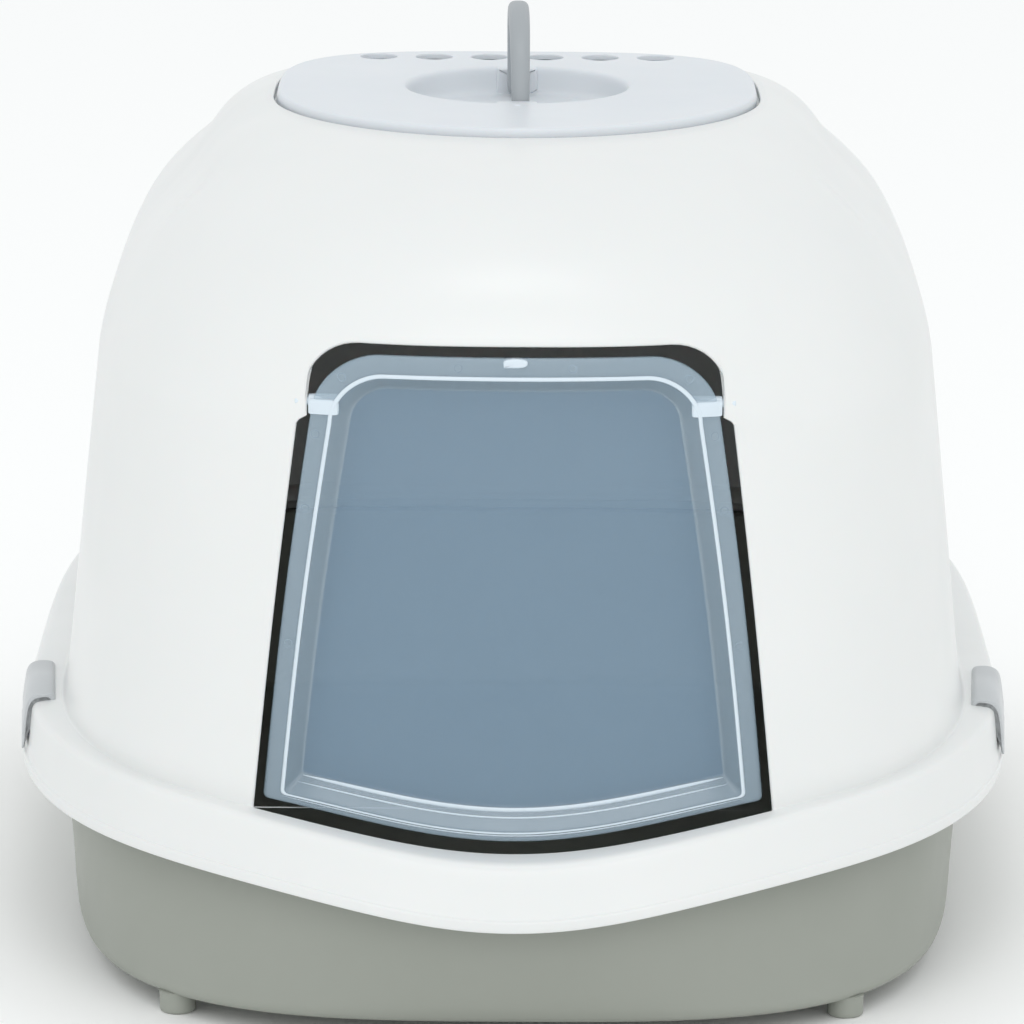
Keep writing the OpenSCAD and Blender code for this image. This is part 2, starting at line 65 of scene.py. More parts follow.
@dataclass
class Shell:
    """Gathers the points and faces of one closed piece, in millimetres."""

    points: list[Array] = field(default_factory=list)
    faces: list[tuple[Array, Shade]] = field(default_factory=list)
    count: int = 0

    def add(self, points: Array) -> Array:
        """Adds points and gives their numbers.

        Args:
            points: array of shape (..., 3).

        Returns:
            The points' numbers, in the shape of the array without its last axis.
        """
        flat = np.asarray(points, float).reshape(-1, 3)
        index = np.arange(self.count, self.count + len(flat)).reshape(points.shape[:-1])
        self.points.append(flat)
        self.count += len(flat)
        return index

    def cells(self, index: Array, *, rows: bool = False, cols: bool = False,
              skip: Array | None = None) -> None:
        """Fills a grid of point numbers with quads.

        Args:
            index: grid of point numbers.
            rows: whether the last row joins the first.
            cols: whether the last column joins the first.
            skip: mask of cells that stay open.
        """
        grid = np.concatenate([index, index[:1]], 0) if rows else index
        grid = np.concatenate([grid, grid[:, :1]], 1) if cols else grid
        quads = np.stack([grid[:-1, :-1], grid[:-1, 1:], grid[1:, 1:], grid[1:, :-1]], -1)
        quads = quads[~skip] if skip is not None else quads.reshape(-1, 4)
        self.faces.append((quads, Shade.SMOOTH))

    def grid(self, points: Array, **options: bool) -> Array:
        """Adds a grid of points and its quads, and gives the points' numbers."""
        index = self.add(points)
        self.cells(index, **options)
        return index

    def fan(self, loop: Array, centre: Sequence[float]) -> None:
        """Closes a loop of point numbers with triangles round one centre point."""
        hub = self.add(np.asarray([centre], float))[0]
        after = np.roll(loop, -1)
        self.faces.append((np.stack([loop, after, np.full(len(loop), hub)], -1), Shade.SMOOTH))

    def flat_fill(self, loops: Iterable[Array]) -> None:
        """Fills the flat region between an outer loop and the holes in it.

        The loops' edges constrain a Delaunay triangulation, and the triangles kept are those whose
        middle is inside an odd number of loops.

        Args:
            loops: loops of point numbers, all at one height.
        """
        loops = list(loops)
        numbers = np.concatenate(loops)
        flat = np.concatenate(self.points)[numbers][:, :2]
        places = np.split(np.arange(len(numbers)), np.cumsum([len(loop) for loop in loops])[:-1])
        edges = np.concatenate([np.stack([at, np.roll(at, -1)], 1) for at in places])
        made = delaunay_2d_cdt([Vector(point) for point in flat.tolist()], edges.tolist(), [], 0, 1e-7)
        tris = np.array(made[2])
        middle = flat[tris].mean(1)[:, None]
        a, b = flat[edges[:, 0]][None], flat[edges[:, 1]][None]
        spans = (a[..., 1] > middle[..., 1]) != (b[..., 1] > middle[..., 1])
        rise = np.where(b[..., 1] == a[..., 1], 1, b[..., 1] - a[..., 1])
        meets = a[..., 0] + (b[..., 0] - a[..., 0]) * (middle[..., 1] - a[..., 1]) / rise
        inside = np.sum(spans & (middle[..., 0] < meets), 1) % 2 == 1
        self.faces.append((numbers[tris[inside]], Shade.FLAT))

    def build(self, name: str, crease: float = 38.0) -> bpy.types.Object:
        """Makes the Blender object, in metres, with its faces turned outwards.

        Args:
            name: the object's name.
            crease: angle in degrees past which an edge stays sharp.

        Returns:
            The new object, linked to the scene.
        """
        mesh = bpy.data.meshes.new(name)
        faces = [f for group, _ in self.faces for f in group.tolist()]
        flat = np.concatenate([np.full(len(g), s is Shade.SMOOTH) for g, s in self.faces])
        mesh.from_pydata((np.concatenate(self.points) * MM).tolist(), [], faces)
        mesh.polygons.foreach_set("use_smooth", flat)
        mesh.set_sharp_from_angle(angle=np.radians(crease))
        work = bmesh.new()
        work.from_mesh(mesh)
        bmesh.ops.recalc_face_normals(work, faces=work.faces)
        work.to_mesh(mesh)
        work.free()
        mesh.update()
        made = bpy.data.objects.new(name, mesh)
        bpy.context.scene.collection.objects.link(made)
        return made


def rounded(points: Array, passes: int = 2) -> Array:
    """Rounds an open control polygon by cutting its corners at a quarter and three quarters.

    Args:
        points: control rows, of any width.
        passes: how many times the corners are cut.

    Returns:
        The rounded rows, with the two ends kept.
    """
    for _ in range(passes):
        ahead = 0.75 * points[:-1] + 0.25 * points[1:]
        behind = 0.25 * points[:-1] + 0.75 * points[1:]
        middle = np.stack([ahead, behind], 1).reshape(-1, points.shape[1])
        points = np.concatenate([points[:1], middle, points[-1:]])
    return points


def lathe(profile: Array, centre: Sequence[float], around: int = 64) -> Array:
    """Turns a profile of (radius, height) rows about a vertical axis.

    Args:
        profile: rows of radius and height.
        centre: x, y and base height of the axis.
        around: points in each circle.

    Returns:
        Grid of points, one row for each profile row.
    """
    turn = np.linspace(0, 2 * np.pi, around, endpoint=False)
    radius, height = profile[:, :1], profile[:, 1:2]
    return np.stack([centre[0] + radius * np.cos(turn), centre[1] + radius * np.sin(turn),
                     centre[2] + height + 0 * turn], -1)


def resampled(line: Array, count: int) -> Array:
    """Spreads points evenly by length along an open line.

    Args:
        line: points of the line.
        count: how many points to give.

    Returns:
        The even points, the line's two ends among them.
    """
    step = np.linalg.norm(np.diff(line, axis=0), axis=1)
    along = np.concatenate([[0], np.cumsum(step)])
    want = np.linspace(0, along[-1], count)
    return np.stack([np.interp(want, along, line[:, k]) for k in range(line.shape[1])], -1)


def swept_prism(section: Array, ends: Sequence[tuple[float, float]]) -> Array:
    """Carries a closed section of (out, up) points along a straight run.

    Args:
        section: the section's points.
        ends: rows of distance along the run and how far the section shrinks there.

    Returns:
        Grid of (out, along, up) points.
    """
    after, before = np.roll(section, -1, 0), np.roll(section, 1, 0)
    along = after - before
    normal = np.stack([along[:, 1], -along[:, 0]], -1)
    normal /= np.linalg.norm(normal, axis=1, keepdims=True) + 1e-9
    area = 0.5 * np.sum(section[:, 0] * after[:, 1] - section[:, 1] * after[:, 0])
    normal *= 1 if area > 0 else -1
    rows = []
    for place, shrink in ends:
        ring = section - normal * shrink
        rows.append(np.stack([ring[:, 0], np.full(len(ring), place), ring[:, 1]], -1))
    return np.stack(rows)


# ---- Materials -----------------------------------------------------------------------------------
def linear(code: str) -> tuple[float, float, float, float]:
    """Turns an sRGB hex colour into linear red, green, blue and alpha."""
    raw = np.array([int(code[i:i + 2], 16) / 255 for i in (1, 3, 5)])
    lin = np.where(raw <= 0.04045, raw / 12.92, ((raw + 0.055) / 1.055) ** 2.4)
    return (*lin.tolist(), 1.0)


def add_node(tree: bpy.types.NodeTree, kind: str, values: dict | None = None,
             links: dict | None = None, **settings: object) -> bpy.types.Node:
    """Adds one node with its settings, socket values and incoming links.

    Args:
        tree: the material's node tree.
        kind: the node's type name.
        values: input socket to constant.
        links: input socket to the output socket that feeds it.
        **settings: properties of the node itself.

    Returns:
        The new node.
    """
    node = tree.nodes.new(kind)
    for key, value in settings.items():
        setattr(node, key, value)
    for key, value in (values or {}).items():
        node.inputs[key].default_value = value
    for key, source in (links or {}).items():
        tree.links.new(source, node.inputs[key])
    return node


@dataclass(frozen=True)
class Moulded:
    """An injection-moulded plastic: a base tone, faint flow mottle and a fine tool-spark grain."""

    name: str
    tone: str
    mottle: str
    roughness: float
    spread: float = 0.05
    ior: float = 1.49
    grain: float = 0.5
    grain_depth: float = 0.006
    flow: float = 60.0
    glow: float = 0.0
    coat: float = 0.0
    coat_roughness: float = 0.1
    alpha: float = 1.0
    sheen: float = 0.0

    def material(self) -> bpy.types.Material:
        """Builds the material's nodes."""
        made = bpy.data.materials.new(self.name)
        made.use_nodes = True
        tree = made.node_tree
        tree.nodes.clear()
        place = add_node(tree, "ShaderNodeTexCoord").outputs["Object"]
        flow = add_node(tree, "ShaderNodeTexNoise", {"Scale": 1 / (self.flow * MM), "Detail": 3.0,
                                                     "Roughness": 0.55}, {"Vector": place})
        grain = add_node(tree, "ShaderNodeTexNoise", {"Scale": 1 / (self.grain * MM),
                                                      "Detail": 2.0}, {"Vector": place})
        tint = add_node(tree, "ShaderNodeMix", {"A": linear(self.tone), "B": linear(self.mottle)},
                        {"Factor": flow.outputs["Fac"]}, data_type="RGBA")
        low, high = self.roughness - self.spread, self.roughness + self.spread
        polish = add_node(tree, "ShaderNodeMapRange",
                          {"From Min": 0.3, "From Max": 0.7, "To Min": low, "To Max": high},
                          {"Value": flow.outputs["Fac"]})
        bump = add_node(tree, "ShaderNodeBump", {"Strength": 0.6,
                                                 "Distance": self.grain_depth * MM},
                        {"Height": grain.outputs["Fac"]})
        shader = add_node(tree, "ShaderNodeBsdfPrincipled",
                          {"IOR": self.ior, "Alpha": self.alpha,
                           "Subsurface Weight": self.glow, "Subsurface Scale": 2 * MM,
                           "Coat Weight": self.coat, "Coat Roughness": self.coat_roughness,
                           "Sheen Weight": self.sheen},
                          {"Base Color": tint.outputs["Result"],
                           "Roughness": polish.outputs["Result"],
                           "Normal": bump.outputs["Normal"]})
        add_node(tree, "ShaderNodeOutputMaterial", links={"Surface": shader.outputs["BSDF"]})
        return made


@dataclass(frozen=True)
class Felt:
    """A needled fleece: soft mottled fibre with a fuzzy, sheened face."""

    name: str
    tone: str
    shadow: str
    fibre: float = 0.6
    roughness: float = 0.95

    def material(self) -> bpy.types.Material:
        """Builds the material's nodes."""
        made = bpy.data.materials.new(self.name)
        made.use_nodes = True
        tree = made.node_tree
        tree.nodes.clear()
        place = add_node(tree, "ShaderNodeTexCoord").outputs["Object"]
        fibre = add_node(tree, "ShaderNodeTexNoise", {"Scale": 1 / (self.fibre * MM),
                                                      "Detail": 6.0, "Roughness": 0.7},
                         {"Vector": place})
        tint = add_node(tree, "ShaderNodeMix", {"A": linear(self.shadow), "B": linear(self.tone)},
                        {"Factor": fibre.outputs["Fac"]}, data_type="RGBA")
        bump = add_node(tree, "ShaderNodeBump", {"Strength": 0.8, "Distance": 0.4 * MM},
                        {"Height": fibre.outputs["Fac"]})
        shader = add_node(tree, "ShaderNodeBsdfPrincipled",
                          {"Roughness": self.roughness, "Sheen Weight": 0.3},
                          {"Base Color": tint.outputs["Result"], "Normal": bump.outputs["Normal"]})
        add_node(tree, "ShaderNodeOutputMaterial", links={"Surface": shader.outputs["BSDF"]})
        return made


# Polypropylene, injection moulded: cool white, half gloss from a finely sparked tool
HOOD_PP = Moulded("hood_white_polypropylene", "#e4e5e4", "#e0e2e1", 0.34, glow=0.04)
# The lid is the same resin as the hood, given a darker and slightly bluer white: painted shade for its
# up-facing top
LID_PP_PAINTED_SHADE = Moulded("lid_white_polypropylene_painted_shade", "#d9dde1", "#d5dadf", 0.36, glow=0.04)
# Sage grey polypropylene with a satin face
TRAY_PP = Moulded("tray_sage_polypropylene", "#9a9d95", "#959990", 0.48, grain_depth=0.008)
# Mid grey polypropylene, satin
HANDLE_PP = Moulded("handle_grey_polypropylene", "#a2a7aa", "#999ea2", 0.40)
# Pale grey acetal: slick and springy
LATCH_POM = Moulded("latch_grey_acetal", "#c0c3c5", "#b9bdbf", 0.34)
# Smoky clear polystyrene: a bluish haze over what lies behind
DOOR_PS = Moulded("door_smoky_polystyrene", "#a3c3dc", "#9fbfd9", 0.16, spread=0.04, ior=1.59,
                  grain_depth=0.001, alpha=0.29, coat=0.6, coat_roughness=0.05)
# Towards its edge the flap is thicker, so the haze is paler and denser
DOOR_RIM_PS = Moulded("door_rim_smoky_polystyrene", "#b9cedd", "#b2c9d9", 0.20, spread=0.04,
                      ior=1.59, grain_depth=0.001, alpha=0.37, coat=0.6, coat_roughness=0.08)
# The same resin where it is thick, seen edge on, or moulded rough: it reads as pale frosted lines; laid as
# beads along the flap's foot it is painted highlight
DOOR_FROST_AND_HIGHLIGHT = Moulded("door_frosted_polystyrene_and_painted_highlight", "#e3eef6", "#dbe8f2", 0.30, ior=1.59,
                     grain_depth=0.002, alpha=0.86)
# Needled polyester fleece, pale grey
PAD_FELT = Felt("filter_fleece", "#d5dadd", "#a9b0b5")


# ---- Plan of the box -----------------------------------------------------------------------------
@dataclass(frozen=True)
class Plan:
    """The outline that the tray, hood and lid share, and the flange's dip at the front."""

    half_w: float = 201.0
    front_y: float = -285.0
    widest_y: float = 247.0
    length: float = 570.0
    lip_z: float = 69.0
    lip_dip: float = 17.7
    dip_spread: float = 85.0
    flange_fore_power: float = 2.4
    flange_aft_power: float = 4.4

    @property
    def mid_y(self) -> float:
        """Station of the widest section."""
        return self.front_y + self.widest_y

    @property
    def aft(self) -> float:
        """Reach behind the widest section."""
        return self.length - self.widest_y

    def dip(self, x: Array) -> Array:
        """Bell curve of the flange's dip: depth times exp(-(x / spread) squared)."""
        return self.lip_dip * np.exp(-(x / self.dip_spread) ** 2)

    def rings(self, spec: Array, turn: Array) -> Array:
        """Points of a stack of rings.

        Each ring is a superellipse |x/a|^m + |y/b|^m = 1 about the widest station, where b and m
        have one value ahead of it and another behind. The dip lowers the front by the ring's share.

        Args:
            spec: rows of (a, fore, aft, fore power, aft power, z, dip share).
            turn: polar angles of the points on the unit superellipse.

        Returns:
            Grid of points, a row for each ring.
        """
        a, fore, aft, mf, ma, z, share = (spec[:, k:k + 1] for k in range(7))
        c, s = np.cos(turn)[None], np.sin(turn)[None]
        ahead = s < 0
        power = np.where(ahead, mf, ma)
        reach = (np.abs(c) ** power + np.abs(s) ** power) ** (-1 / power)
        x = a * reach * c
        y = self.mid_y + np.where(ahead, fore, aft) * reach * s
        return np.stack([x, y, z - np.where(ahead, share * self.dip(x), 0)], -1)

    def inset_ring(self, side: float, front: float, up: float, mf: float | None = None,
                   ma: float | None = None, share: float = 1.0) -> list[float]:
        """Spec of a ring given by its inset from the flange's edge and its height over the lip."""
        return [self.half_w - side, self.widest_y - front, self.aft - side,
                mf or self.flange_fore_power, ma or self.flange_aft_power, self.lip_z + up, share]


PLAN = Plan()


def dress(piece: bpy.types.Object, materials: Sequence[bpy.types.Material], body: str, slot: str,
          *nodes: str) -> bpy.types.Object:
    """Gives a piece its finish and its body, and hides the model nodes that it stands for.

    Args:
        piece: the finished object.
        materials: what it is made of; faces take theirs by number.
        body: the moving body that it rides on.
        slot: the record's material slot; not used.
        *nodes: nodes that the piece replaces.

    Returns:
        The piece.
    """
    for material in materials:
        piece.data.materials.append(material)
    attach(piece, body)
    if nodes:
        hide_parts(*nodes)
    log.info("%s: %d faces on %s", piece.name, len(piece.data.polygons), body)
    return piece


# ---- Tray ----------------------------------------------------------------------------------------
@dataclass
class Tray:
    """The litter tray: a deep pan with a flanged rim, on four round feet."""

    wall_in: float = 17.0
    wall_t: float = 2.5
    floor_z: float = 7.5
    rim_up: float = 19.9
    foot_r: float = 7.0
    foot_x: float = 130.0
    foot_inset: float = 67.0
    around: int = 360

    def pan(self) -> bpy.types.Object:
        """Lofts the pan's outside and inside as one closed profile between two poles."""
        f, w, t, rim = self.floor_z - PLAN.lip_z, self.wall_in, self.wall_t, self.rim_up
        ring = PLAN.inset_ring
        outside = rounded(np.array([
            ring(40, 38, f, 3.2, None, 0), ring(31, 30, f, 3.2, None, 0),
            ring(27, 26.5, f + 1, 3.2, None, 0), ring(24.5, 24.5, f + 4, 3.1, None, 0),
            ring(22.8, 23, f + 9, 2.9, None, 0.05), ring(21.6, 22, f + 24, 2.75, None, 0.3),
            ring(w + 2.6, w + 3.2, f + 42, 2.58, None, 0.7),
            ring(w + 1.9, w + 2.5, -6, 2.5, None, 0.9), ring(w + 0.9, w + 1, 6),
            ring(w, w, rim - 4.4), ring(w - 2, w - 2, rim - 2.4), ring(11, 11.6, rim - 2.4),
            ring(7.3, 8.4, rim - 2.5), ring(6.9, 8, rim - 4.6), ring(5.1, 6, rim - 5),
            ring(5.3, 6.4, rim - 2), ring(5.7, 6.9, rim - 0.7), ring(7.4, 8.6, rim),
            ring(w - 2, w - 2, rim), ring(w + t, w + t, rim), ring(w + t + 0.6, w + t + 0.6, rim - 3),
            ring(w + 1.9 + t, w + 2.5 + t, -6, 2.5, None, 0.9),
            ring(22.8 + t, 23 + t, f + 10, 2.9, None, 0.05), ring(27, 27, f + 5.5, 3.1, None, 0),
            ring(29.6, 29.2, f + t + 0.8, 3.2, None, 0), ring(34, 32, f + t, 3.2, None, 0),
            ring(44, 40, f + t, 3.2, None, 0)]))
        turn = np.linspace(0, 2 * np.pi, self.around, endpoint=False)
        grid = PLAN.rings(outside, turn)
        shell = Shell()
        index = shell.grid(grid, cols=True)
        for row, z in ((0, self.floor_z), (-1, self.floor_z + t)):
            loop = index[row]
            for share in (0.6, 0.2):
                ring_points = grid[row] * [share, share, 1] + [0, PLAN.mid_y * (1 - share), 0]
                inner = shell.add(ring_points)
                shell.cells(np.stack([loop, inner]), cols=True)
                loop = inner
            shell.fan(loop, (0, PLAN.mid_y, z))
        return shell.build("tray_pan")

    def feet(self) -> bpy.types.Object:
        """Turns the four feet: short posts with a rounded tread."""
        r, top = self.foot_r, self.floor_z + 1.5
        profile = rounded(np.array([[0.4, 1.0], [r - 2.6, 1.0], [r - 2.0, 0.4], [r - 1.6, 0],
                                    [r - 0.7, 0], [r, 0.8], [r, 2.0], [r, top - 3], [r + 0.2, top - 1],
                                    [r + 0.6, top], [0.4, top]]))
        shell = Shell()
        ahead, behind = PLAN.front_y + self.foot_inset, -PLAN.front_y - self.foot_inset
        for x in (-self.foot_x, self.foot_x):
            for y in (ahead, behind):
                index = shell.grid(lathe(profile, (x, y, 0)), cols=True)
                shell.fan(index[0], (x, y, 1.0))
                shell.fan(index[-1], (x, y, top))
        return shell.build("tray_feet")

    def make(self) -> None:
        """Builds and dresses the tray."""
        plastic = TRAY_PP.material()
        dress(self.pan(), [plastic], "tray", "tray_plastic", "litter_tray")
        dress(self.feet(), [plastic], "tray", "tray_plastic", "litter_tray")


# ---- Hood ----------------------------------------------------------------------------------------
@dataclass
class Hood:
    """The domed hood: flange, drafted walls that round into a crown, the entry and the lid seat."""

    crown_z: float = 331.0
    crown_h: float = 91.0
    brow: float = 70.0
    skin: float = 2.5
    side_inset: float = 20.0
    front_inset: float = 19.0
    band: float = 25.0
    wall_draft: float = 0.102
    front_draft: float = 0.02
    rear_draft: float = 0.12
    scoop_depth: float = 5.5
    lid: tuple[float, float, float] = (97.0, 97.0, 95.0)
    seat_gap: float = 2.0
    ledge_w: float = 11.0
    ledge_drop: float = 3.0
    aft_power: float = 3.5
    entry_low: float = 99.0
    entry_mid: float = 82.3
    entry_top: float = 78.4
    corner: tuple[float, float] = (21.0, 19.7)
    corner_from: float = 18.0
    collar: int = 8
    sill_cells: int = 60

    @property
    def wall_z(self) -> float:
        """Foot of the wall."""
        return PLAN.lip_z + self.band + 10

    @property
    def entry_z(self) -> float:
        """Top of the entry."""
        return self.crown_z - 58

    @property
    def step_z(self) -> float:
        """Height below which the entry widens."""
        return self.entry_z - 29

    def wall_rings(self, z: Array, skin: float) -> Array:
        """Specs of the wall's rings at heights z.

        Above the crown's foot each reach is drawn in by 1 - (1 - t^p)^(1/p), where t runs from 0 to
        1 over the crown, so the drafted wall turns smoothly over to the lid's outline.

        Args:
            z: heights.
            skin: how far the ring is drawn inside the outer face.

        Returns:
            Rows as Plan.rings takes them.
        """
        t = np.clip((z - self.crown_z + self.crown_h) / self.crown_h, 0, 1)
        brow = np.clip(1 - (self.crown_z - z) / self.brow, 0, 1)
        over = [1 - (1 - v ** p) ** (1 / p) for v, p in ((t, 1.62), (brow, 2.2), (t, 1.3))]
        rise, top = z - self.wall_z, self.crown_z - self.wall_z
        full = (PLAN.half_w - self.side_inset, PLAN.widest_y - self.front_inset,
                PLAN.aft - self.side_inset)
        drafts = (self.wall_draft, self.front_draft, self.rear_draft)
        reach = [base - d * rise - (base - d * top - lid - self.seat_gap) * turn - skin
                 for base, d, lid, turn in zip(full, drafts, self.lid, over)]
        fade = np.clip(1 - rise / 50, 0, 1)
        return np.stack([*reach, 3 - t, np.full_like(z, self.aft_power), z - skin * t * t, fade], -1)

    def scoop(self, grid: Array) -> Array:
        """Presses the hand hollow into each shoulder, between soft ends fore and aft.

        The depth is a bell over the height of the crown times a smooth window along the length.
        """
        t = (grid[..., 2] - self.crown_z + self.crown_h) / self.crown_h
        bell = np.exp(-((t - 0.71) / 0.15) ** 2)
        ramp = np.clip((grid[..., 1] + 128) / 26, 0, 1) * np.clip((120 - grid[..., 1]) / 60, 0, 1)
        press = self.scoop_depth * bell * ramp * ramp * (3 - 2 * ramp)
        moved = grid.copy()
        lean = np.clip(np.abs(grid[..., 0]) / 90, 0, 1)
        moved[..., 0] -= np.sign(grid[..., 0]) * press * lean
        return moved

    def front_depth(self, specs: Array, x: Array, z: Array) -> Array:
        """Depth y of the hood's front at (x, z).

        The ring through the point is found by adding its share of the dip to z a few times, then y
        is the widest station less fore times (1 - |x/a|^m)^(1/m).
        """
        ring_z = z.copy()
        for _ in range(8):
            ring_z = z + np.interp(ring_z, specs[:, 5], specs[:, 6]) * PLAN.dip(x)
        a, fore, power = (np.interp(ring_z, specs[:, 5], specs[:, k]) for k in (0, 1, 3))
        return PLAN.mid_y - fore * (1 - np.abs(x / a) ** power) ** (1 / power)

    def entry_line(self, feet: Array, sill_z: float, side_cells: int, top_cells: int) -> Array:
        """The entry's outline in front view, from its lower left corner over the top to the right.

        Args:
            feet: distances above the sill of the first points of each side.
            sill_z: height of the lower corners.
            side_cells: cells up each side.
            top_cells: cells over the top.

        Returns:
            The outline's (x, z) points.
        """
        rx, rz = self.corner
        start = np.radians(self.corner_from)
        hub = (self.entry_top - rx * np.cos(start), self.entry_z - rz)
        bend = np.linspace(start, np.pi / 2, 30)
        arc = np.stack([hub[0] + rx * np.cos(bend), hub[1] + rz * np.sin(bend)], -1)
        u = np.linspace(0, 1, 24)
        low = np.stack([self.entry_low + (self.entry_mid - self.entry_low) * u
                        + 0.7 * np.sin(np.pi * u), sill_z + (self.step_z - 2 - sill_z) * u], -1)
        jog = np.array([[self.entry_mid - 1.5, self.step_z], [self.entry_top, self.step_z + 1]])
        side = np.concatenate([low, jog, arc[:12]])
        rest = resampled(side, 800)
        along = np.linspace(0, np.sum(np.linalg.norm(np.diff(side, axis=0), axis=1)), len(rest))
        want = np.append(feet, np.linspace(feet[-1], along[-1], side_cells + 2 - len(feet))[1:])
        side_even = np.stack([np.interp(want, along, rest[:, k]) for k in (0, 1)], -1)
        for corner in (low[-1], jog[1]):
            side_even[np.argmin(np.linalg.norm(side_even - corner, axis=1))] = corner
        top = np.concatenate([arc[11:], arc[::-1][:-11] * [-1, 1]])
        top_even = resampled(top, top_cells + 1)
        left = side_even * [-1, 1]
        return np.concatenate([left, top_even[::-1][1:-1], side_even[::-1]])

    def columns(self, ring: Array) -> tuple[Array, int]:
        """Polar angles of the grid's columns, with one at each lower corner of the entry.

        Args:
            ring: spec of the ring along the entry's sill.

        Returns:
            The angles, and the number of columns between the hole's edge and the entry's corner.
        """
        a, power = ring[0], ring[3]
        edge = np.linspace(-118, -self.entry_low, self.collar + 1)
        sill = np.linspace(-self.entry_low, self.entry_low, self.sill_cells + 1)
        x = np.concatenate([edge[:-1], sill, -edge[::-1][1:]]) / a
        front = np.arctan2(-(1 - np.abs(x) ** power) ** (1 / power), x) + 2 * np.pi
        rest = np.linspace(front[-1], front[0] + 2 * np.pi, 262)[1:-1]
        return np.concatenate([front, rest]), len(x)

    def body(self) -> bpy.types.Object:
        """Lofts the hood's two skins and sets the entry into them."""
        ring = PLAN.inset_ring
        side, front, b = self.side_inset, self.front_inset, self.band
        sill_ring = ring(side - 3.4, front - 3, b + 2, 2.72)
        sill_twin = ring(side + 0.7, front + 0.8, b + 0.6, 2.76)
        flange = rounded(np.array([
            ring(2.5, 2.5, 0), ring(0.6, 0.6, 0), ring(0, 0, 0.5), ring(0, 0, 4.0),
            ring(0.3, 0.3, 4.6), ring(1.1, 1.1, 4.9), ring(1.35, 1.4, 6), ring(2.2, 2.9, 14),
            ring(3, 4.2, b - 2.5), ring(3.4, 5.0, b - 0.8), ring(4.6, 6.5, b + 0.6),
            ring(6.8, 8.2, b + 1.2), ring(12, 12, b + 1.7, 2.52), sill_ring]))
        heel = rounded(np.array([sill_ring, ring(side - 2.2, front - 1.9, b + 2.5, 2.78),
                                 ring(side - 1.3, front - 1.1, b + 4.3, 2.85),
                                 ring(side - 0.6, front - 0.5, b + 7.2, 2.93, 4.0)]))[1:]
        inner_heel = rounded(np.array([sill_twin, ring(side + 1.2, front + 1.4, b + 2.8, 2.78),
                                       ring(side + 1.9, front + 1.9, b + 4.2, 2.85),
                                       ring(side + 2.1, front + 2.1, b + 7.2, 2.93, 4.0)]))[1:]
        straight = np.linspace(self.wall_z, self.crown_z - self.crown_h, 33)
        over = self.crown_z - self.crown_h + self.crown_h * np.sin(np.linspace(0, np.pi / 2, 38))[1:]
        z = np.concatenate([straight, np.minimum(over, self.crown_z - 0.25)])
        wall = self.wall_rings(z, 0)
        lower = np.concatenate([flange, heel])
        outer = np.concatenate([lower, wall])
        low_row, high_row = len(flange) - 1, len(lower) + int(np.searchsorted(z, 291))
        inner_wall = self.wall_rings(z, self.skin)
        drop, lid = self.ledge_drop, self.lid

        def seat(grow: float, up: float) -> list[float]:
            return [lid[0] + grow, lid[1] + grow, lid[2] + grow, 2, self.aft_power, up, 0]

        ledge = np.array([seat(1.8, self.crown_z), seat(1.5, self.crown_z - 0.3),
                          seat(1.5, self.crown_z - drop), seat(-self.ledge_w, self.crown_z - drop),
                          seat(-self.ledge_w, self.crown_z - drop - self.skin)])
        tuck = rounded(np.array([
            ring(side - 0.6, front - 0.4, b + 0.1, 2.74), ring(side - 2.4, front - 2, b - 0.6, 2.68),
            ring(15, 14.5, 20.3), ring(12, 11.5, 20.3), ring(11, 10.5, b - 1.6),
            ring(8.5, 8.5, b - 2.2), ring(5.1, 6.3, b - 5), ring(4.2, 4.9, 12), ring(3.2, 3.2, 5),
            ring(2.5, 2.5, 0.3)]), 1)
        specs = np.concatenate([outer, ledge, inner_wall[::-1], inner_heel[::-1], [sill_twin], tuck])
        turn, front_count = self.columns(outer[low_row])
        grid = self.scoop(PLAN.rings(specs, turn))
        inner_top = len(outer) + len(ledge) + len(wall) - 1
        twin = {r: inner_top - (r - len(lower)) for r in range(low_row, high_row + 1)}
        a, fore, _, power, _, height, _ = specs[twin[low_row]]
        across = grid[low_row, :front_count, 0]
        behind = PLAN.mid_y - fore * (1 - np.abs(across / a) ** power) ** (1 / power)
        grid[twin[low_row], :front_count] = np.stack([across, behind, height - PLAN.dip(across)], -1)
        shell = Shell()
        index = shell.add(grid)
        rows, cols = index.shape
        skip = np.zeros((rows, cols), bool)
        skip[low_row:high_row, :front_count - 1] = True
        skip[twin[high_row]:twin[low_row], :front_count - 1] = True
        shell.cells(index, rows=True, cols=True, skip=skip)
        k, last = self.collar, front_count - 1
        border = [(r, 0) for r in range(low_row, high_row)]
        border += [(high_row, c) for c in range(front_count)]
        border += [(r, last) for r in range(high_row - 1, low_row - 1, -1)]
        side_cells = high_row - low_row + last // 5
        feet = grid[low_row:len(lower) + 2, 0, 2] - grid[low_row, 0, 2]
        line = self.entry_line(feet, float(grid[low_row, k, 2]), side_cells,
                               len(border) - 1 - 2 * side_cells)
        tangent = np.gradient(line, axis=0)
        outward = np.stack([-tangent[:, 1], tangent[:, 0]], -1)
        outward /= np.linalg.norm(outward, axis=1, keepdims=True)
        edges = []
        for sense, source, specs_here, radius in ((1, lambda r: r, outer, 0.9),
                                                  (-1, twin.get, None, 0.0)):
            if specs_here is None:
                specs_here = np.concatenate([[sill_twin], inner_heel, inner_wall])
            marks = np.array([index[source(r), c] for r, c in border])
            around = grid.reshape(-1, 3)[marks]
            lip = line + outward * radius
            lip[0], lip[-1] = line[0], line[-1]
            share = np.linspace(0, 1, k + 1)[1:, None, None]
            flat = around[None, :, ::2] * (1 - share) + lip[None] * share
            depth = self.front_depth(specs_here, flat[..., 0], flat[..., 1])
            patch = np.stack([flat[..., 0], depth, flat[..., 1]], -1)
            numbers = np.concatenate([marks[None], shell.add(patch)])
            for end, column in ((0, np.arange(k + 1)), (-1, last - np.arange(k + 1))):
                numbers[:, end] = index[source(low_row), column]
            edge_rows = [numbers]
            if radius:
